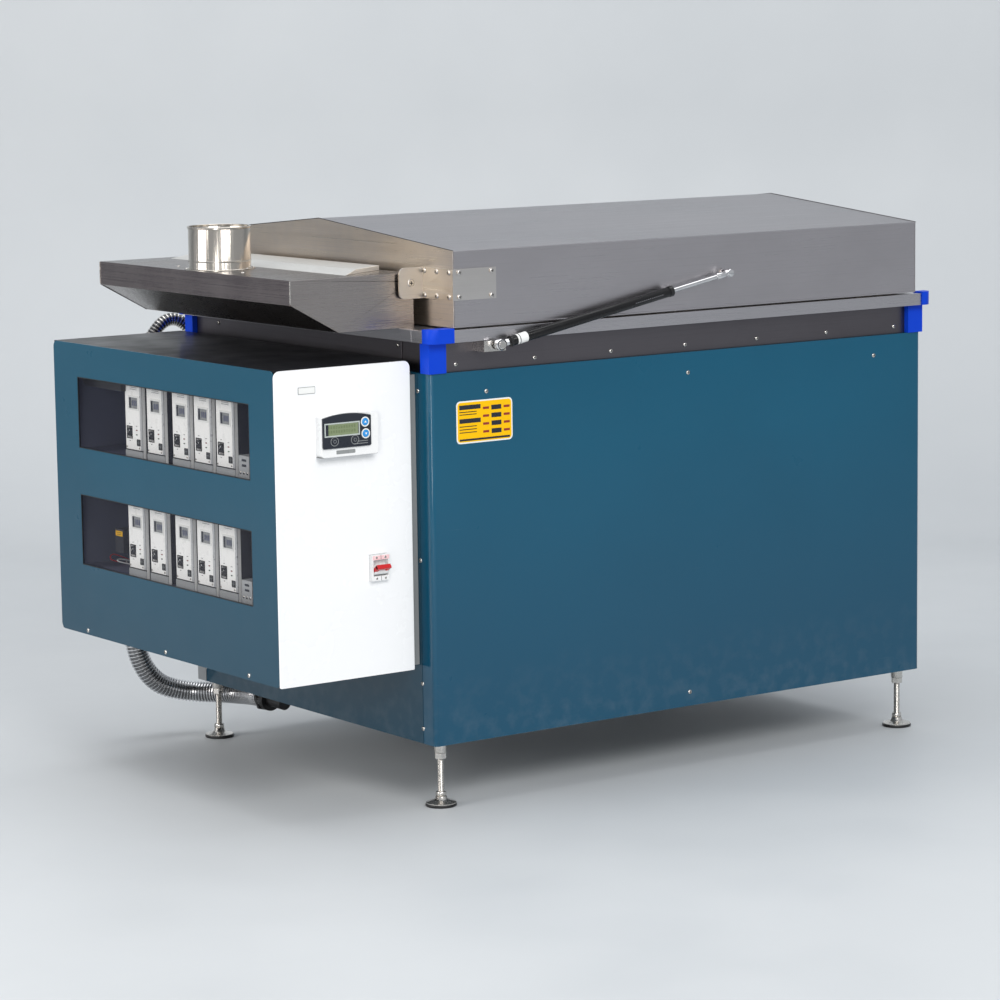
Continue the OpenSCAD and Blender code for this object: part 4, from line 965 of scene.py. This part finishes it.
def make_box_inside():
    """Liner, wiring and blocks seen through the windows."""
    form = Form("box_liner_and_wiring")
    back = place_of("power_modules")[1].x + 0.006
    lo, hi, _ = place_of("control_box_chassis")
    form.box((back, lo.y + 0.012, lo.z + 0.012), (back + 0.0015, hi.y - 0.012, hi.z - 0.012), SLATE, 0.0004)
    form.box((lo.x + 0.022, hi.y - 0.034, lo.z + 0.012), (back, hi.y - 0.0325, hi.z - 0.012), SLATE, 0.0004)
    form.box(spot(-834, 187, 706), spot(-800, 330, 724), SOOT, 0.0008)
    form.box(spot(-834, -340, 560), spot(-700, 366, 562), SLATE, 0.0004)
    plate = Plane(form, spot(-700, 250, 402), LEFT)
    plate.slab(-15, 15, 0, 44, 0, 112, LINER, 2, 0.6)
    plate.slab(-12, 12, 31, 40, 111.9, 112.5, YELLOW)
    plate.slab(-9, 9, 33, 34.4, 112.4, 112.7, INK)
    plate.slab(-9, 9, 36.6, 38, 112.4, 112.7, INK)
    for k, look in enumerate((RED, CREAM)):
        y = 322 - 26 * k
        wire = [(-740, y + 9, 369.5), (-780, y + 8, 386 - 6 * k), (-790, y, 378), (-764, y - 12, 369.5)]
        form.tube(along_curve([spot(*p) for p in wire], 0.003), 0.0012, look, 10)
        stub = [(0, 0), (0, 0.003), (0.006, 0.003), (0.0065, 0)]
        form.lathe(spot(-764, y - 12, LOWER_FLOOR), UP, stub, ZINC, 12)
    blocks = place_of("terminal_blocks")
    for z in SHELF_TOPS:
        face = Plane(form, (blocks[0].x, blocks[2].y, z * MM), LEFT)
        for v in (26, 35):
            face.slab(-6, 8, v - 2, v + 2, -0.1, 0.4, INK)
        for u in (-11, 0, 11):
            face.screw(u, 13, 2.6, 1.0, turn=u)
    form.done("root", "grey_paint")


def make_window_gaskets():
    """Thin black gaskets just inside the windows' edges."""
    form = Form("window_gaskets")
    x = (place_of("control_box_face")[0].x - SHIFT.x) / MM
    for z in WINDOW_SILLS:
        face = Plane(form, spot(x, WINDOW_Y, z), LEFT)
        face.frame(0.1, WINDOW_L - 0.1, 0.1, WINDOW_H - 0.1, 1.6, -2.4, -0.3, SOOT)
    form.done("root", "black_gloss")


fronts = Form("module_fronts")
for number in range(1, 11):
    module_front(fronts, number)
    rocker_switch(number)
fronts.done("root", "white_plastic")
make_box_inside()
make_window_gaskets()

# ---- Controls ------------------------------------------------------------------------


def make_controller():
    """Display, key surrounds and label of the wall controller."""
    form = Form("controller_details")
    lo = place_of("controller_fascia")[0]
    face = Plane(form, lo, FRONT)
    face.frame(3, 74, 20, 43.5, 2.2, -0.4, 0.7, LCD_FRAME)
    face.slab(5, 72, 22, 41.5, -1.1, -0.2, LCD, 1)
    for row in (26, 33.5):
        for k in range(11):
            face.slab(10 + 5.2 * k, 13.6 + 5.2 * k, row, row + 5, -0.3, -0.15, LCD_INK, 0, 0)
    for name, inner, outer, look in (
        ("key_up", 0.0065, 0.0086, PAPER), ("key_down", 0.0065, 0.0086, PAPER),
        ("key_run", 0.0070, 0.0080, LCD_GREY), ("key_stop", 0.0070, 0.0080, LCD_GREY),
    ):
        middle = place_of(name)[2]
        u, v = (middle.x - lo.x) / MM, (middle.z - lo.z) / MM
        form.ring(face.at(u, v, -0.1), face.out, inner, outer, 0.0005, look, 36)
    for v in (5, 9):
        face.slab(62, 90, v - 0.5, v + 0.5, -0.1, 0.15, LCD_GREY, 0, 0)
    housing = Plane(form, (lo.x, place_of("controller_housing")[0].y, lo.z), FRONT)
    housing.slab(28, 66, -10.5, -4, -0.1, 0.4, LCD_GREY, 1)
    housing.slab(-1, 111.8, -15.4, -14.6, -18, -0.4, LCD_GREY, 0, 0)
    form.done("root", "white_plastic")


def make_key(node, look, mark):
    """A dished cap with an arrow, up for 1 and down for -1, or with a ring for 0."""
    lo, hi, middle = place_of(node)
    r, length = (hi.x - lo.x) / 2, hi.y - lo.y
    form = Form(node + "_cap")
    base = Vector((middle.x, hi.y, middle.z))
    profile = [(0, 0), (0, r), (length - 0.0009, r), (length - 0.0004, r - 0.0003), (length, r - 0.0012),
               (length - 0.0002, r - 0.0022), (length - 0.0004, 0)]
    form.lathe(base, (0, -1, 0), profile, look, 36)
    top = Plane(form, Vector((middle.x, lo.y, middle.z)), FRONT)
    if mark:
        arrow = metres([(-2.4, -1.4 * mark), (2.4, -1.4 * mark), (0, 2.2 * mark)])
        form.prism(arrow, top.at(0, 0, -0.5), top.u, top.v, top.out * 0.0004, CREAM)
    else:
        form.ring(top.at(0, 0, -0.5), top.out, 0.0024, 0.0031, 0.0004, LCD_GREY, 28)
    form.done(body_of(node), "key_blue" if mark else "dark_plastic", node)


def make_breaker():
    """Labels, seam, terminal screws and guide slot of the two-pole breaker."""
    form = Form("breaker_details")
    lo, hi, _ = place_of("breaker_body")
    face = Plane(form, lo, FRONT)
    w, h = (hi.x - lo.x) / MM, (hi.z - lo.z) / MM
    face.slab(1, w - 1, h - 8.2, h - 1, -0.1, 0.3, PINK)
    face.slab(1, w - 1, 1, 7.6, -0.1, 0.3, CREAM)
    face.slab(w / 2 - 0.3, w / 2 + 0.3, 0.4, 8.2, 0.1, 0.5, INK, 0, 0)
    face.slab(w / 2 - 0.3, w / 2 + 0.3, h - 8.4, h - 0.4, 0.1, 0.5, INK, 0, 0)
    for u in (w * 0.25, w * 0.75):
        face.screw(u, 4.2, 2.3, 0.7)
        face.screw(u, h - 4.6, 2.3, 0.7)
    face.slab(3.6, w - 3.6, 9, 10.2, -8, -5, LCD_GREY, 0, 0)
    form.done("root", "white_plastic")


make_controller()
make_key("key_up", KEY_BLUE, 1)
make_key("key_down", KEY_BLUE, -1)
make_key("key_run", INK, 0)
make_key("key_stop", INK, 0)
make_breaker()


def make_toggle():
    """Tie-bar handle: two red levers and a bar on a pale hub."""
    lo, hi, _ = place_of("breaker_toggle")
    hub = spot(*BREAKER_PIVOT)
    half = (hi.x - lo.x) / 2
    form = Form("tie_bar_handle")
    drum = chamfered(0.0058, 2 * half - 0.0006, 0.0006, 0.0005)
    form.lathe(hub - Vector((half - 0.0003, 0, 0)), (1, 0, 0), drum, CREAM)
    tilt = math.radians(-35)
    reach = Vector((0, -math.cos(tilt), -math.sin(tilt)))
    lift = Vector((1, 0, 0)).cross(reach)
    wide = 0.0062
    lever = metres([(3, -3), (13.5, -3.4), (16, -3), (16, 3.4), (13.5, 3.8), (3, 3.2)])
    for x in (-half, half - wide):
        form.prism(lever, hub + Vector((x, 0, 0)), reach, lift, (wide, 0, 0), RED, 0.0005)
    bar = metres([(11.8, -3.4), (16.5, -3.8), (17.5, -3), (17.5, 3.4), (16.5, 4.2), (11.8, 3.8)])
    form.prism(bar, hub + Vector((-half, 0, 0)), reach, lift, (2 * half, 0, 0), RED, 0.0005)
    form.done(body_of("breaker_toggle"), "red_plastic", "breaker_toggle")


make_toggle()

# ---- Gas struts ------------------------------------------------------------------------

STRUT_TILT = math.atan(STRUT_RISE / STRUT_REACH)
STRUT_WAY = Vector((math.cos(STRUT_TILT), 0, math.sin(STRUT_TILT)))


def socket_shape(form, middle, way, reach, radius, look):
    """A barrel round a ball stud, with a spring clip in its groove."""
    shape = ((0, 0), (0, 0.72), (0.12, 0.93), (0.3, 1), (0.7, 1), (0.74, 0.9), (0.8, 0.9), (0.84, 1),
             (0.94, 0.9), (1, 0.62), (1, 0))
    form.lathe(middle - way * reach / 2, way, [(d * reach, r * radius) for d, r in shape], look, 28)


def make_struts():
    """Labels, collars, hexagons and end sockets of both gas springs."""
    tube, rod = Form("strut_tube_details"), Form("strut_rod_details")
    x, y, z = STRUT_STUD
    mark = metres([(-1.1, 0.6), (1.1, 0.6), (1.4, 2.2), (-0.8, 2.2)])
    collar = [(0, 0), (0, 0.0062), (0.009, 0.0062), (0.0105, 0.0055), (0.0105, 0)]
    for j in (-1, 1):
        start = spot(x, j * y, z)
        along = lambda s: start + STRUT_WAY * s * MM
        way = Vector((0, j, 0))
        tube.ring(along(34), STRUT_WAY, 0.0089, 0.0092, 0.022, PAPER, 36)
        tube.ring(along(38), STRUT_WAY, 0.0090, 0.00935, 0.0016, INK, 36)
        side = STRUT_WAY.cross(way).normalized() * -j
        for k in range(14):
            bar = along(296 + 4.6 * k) + way * 0.0087 - side * 0.0012
            tube.prism(mark, bar, STRUT_WAY, side, way * 0.00045, PRINT)
        tube.ring(along(21.5), STRUT_WAY, 0.0050, 0.0095, 0.004, SOOT, 36)
        tube.ring(along(376), STRUT_WAY, 0.0089, 0.0096, 0.008, SOOT, 36)
        tube.lathe(along(11), STRUT_WAY, collar, CHROME, 6)
        socket_shape(tube, start, way, 0.0150, 0.0100, CHROME)
        socket_shape(rod, along(STRUT_L), way, 0.0135, 0.0072, CHROME)
        rod.lathe(along(STRUT_L - 31), STRUT_WAY, chamfered(0.0062, 0.011, 0.0004, 0.001), CHROME, 6)
        rod.ring(spot(69, j * (LID_Y + 0.8), 904), way, 0.0042, 0.0068, 0.0016, STEEL, 32)
    tube.done(body_of("strut_tubes"), "strut_black")
    rod.done(body_of("strut_rods"), "chrome")


make_struts()

# ---- Feet ------------------------------------------------------------------------------


SOLE = metres([(0, 0), (0, 26.2), (1.2, 27.5), (4, 27.5), (4.8, 26.8), (4.8, 0)])
PAD = metres([(0, 0), (0, 26.2), (0.6, 26.8), (1.8, 26.6), (3.4, 21.5), (5.5, 14.5), (7.8, 10.8), (12.2, 9.8),
              (13, 8.8), (13, 0)])


def make_foot(node):
    """Pad with a rubber sole, hexagon nut and threaded spindle."""
    _, hi, middle = place_of(node)
    foot = Vector((middle.x, middle.y, 0))
    form = Form(node + "_detail")
    form.lathe(foot, UP, SOLE, SOOT, 48)
    form.lathe(foot + UP * 0.0048, UP, PAD, ZINC, 48)
    form.lathe(foot + UP * 0.0178, UP, chamfered(0.0098, 0.008, 0.001, 0.0008), ZINC, 6)
    pitch, start, root = 0.00175, 0.0258, 0.0053
    turns = int((hi.z - start) / pitch) - 1
    thread = [(0, 0)]
    for k in range(turns):
        thread += [(pitch * k, root), (pitch * (k + 0.42), 0.006), (pitch * (k + 0.55), 0.006)]
    thread += [(pitch * turns, root), (pitch * turns, 0)]
    form.lathe(foot + UP * start, UP, thread, ZINC, 20)
    form.done(body_of(node), "zinc", node, sharp=60)


for corner in ("front_left", "front_right", "rear_left", "rear_right"):
    make_foot("foot_" + corner)

# ---- Heating elements --------------------------------------------------------------------


ROD_R = 0.006


def ribbed_rods(node, places, name):
    """Carrier tubes with a wound wire, shown as close rings."""
    lo, hi, _ = place_of(node)
    form = Form(name)
    length, pitch, core, wire = hi.x - lo.x, 0.011, 0.0046, 0.0059
    profile = [(0, 0), (0, core)]
    d = 0.012
    while d < length - 0.014:
        profile += [(d, core), (d + 0.0012, wire), (d + 0.0036, wire), (d + 0.0048, core)]
        d += pitch
    profile += [(length, core), (length, 0)]
    for y, z in places:
        form.lathe(Vector((lo.x, y, z)), (1, 0, 0), profile, ELEMENT, 14)
    form.done(body_of(node), "element", node, sharp=50)


def five_between(lo, hi):
    """Five even places, the outer two a rod's radius inside the limits."""
    return [lo + ROD_R + (hi - lo - 2 * ROD_R) * k / 4 for k in range(5)]


lo, hi, _ = place_of("wall_elements")
wall_places = [(y, z) for z in five_between(lo.z, hi.z) for y in (lo.y + ROD_R, hi.y - ROD_R)]
ribbed_rods("wall_elements", wall_places, "wall_element_coils")
lo, hi, middle = place_of("lid_elements")
ribbed_rods("lid_elements", [(y, middle.z) for y in five_between(lo.y, hi.y)], "lid_element_coils")
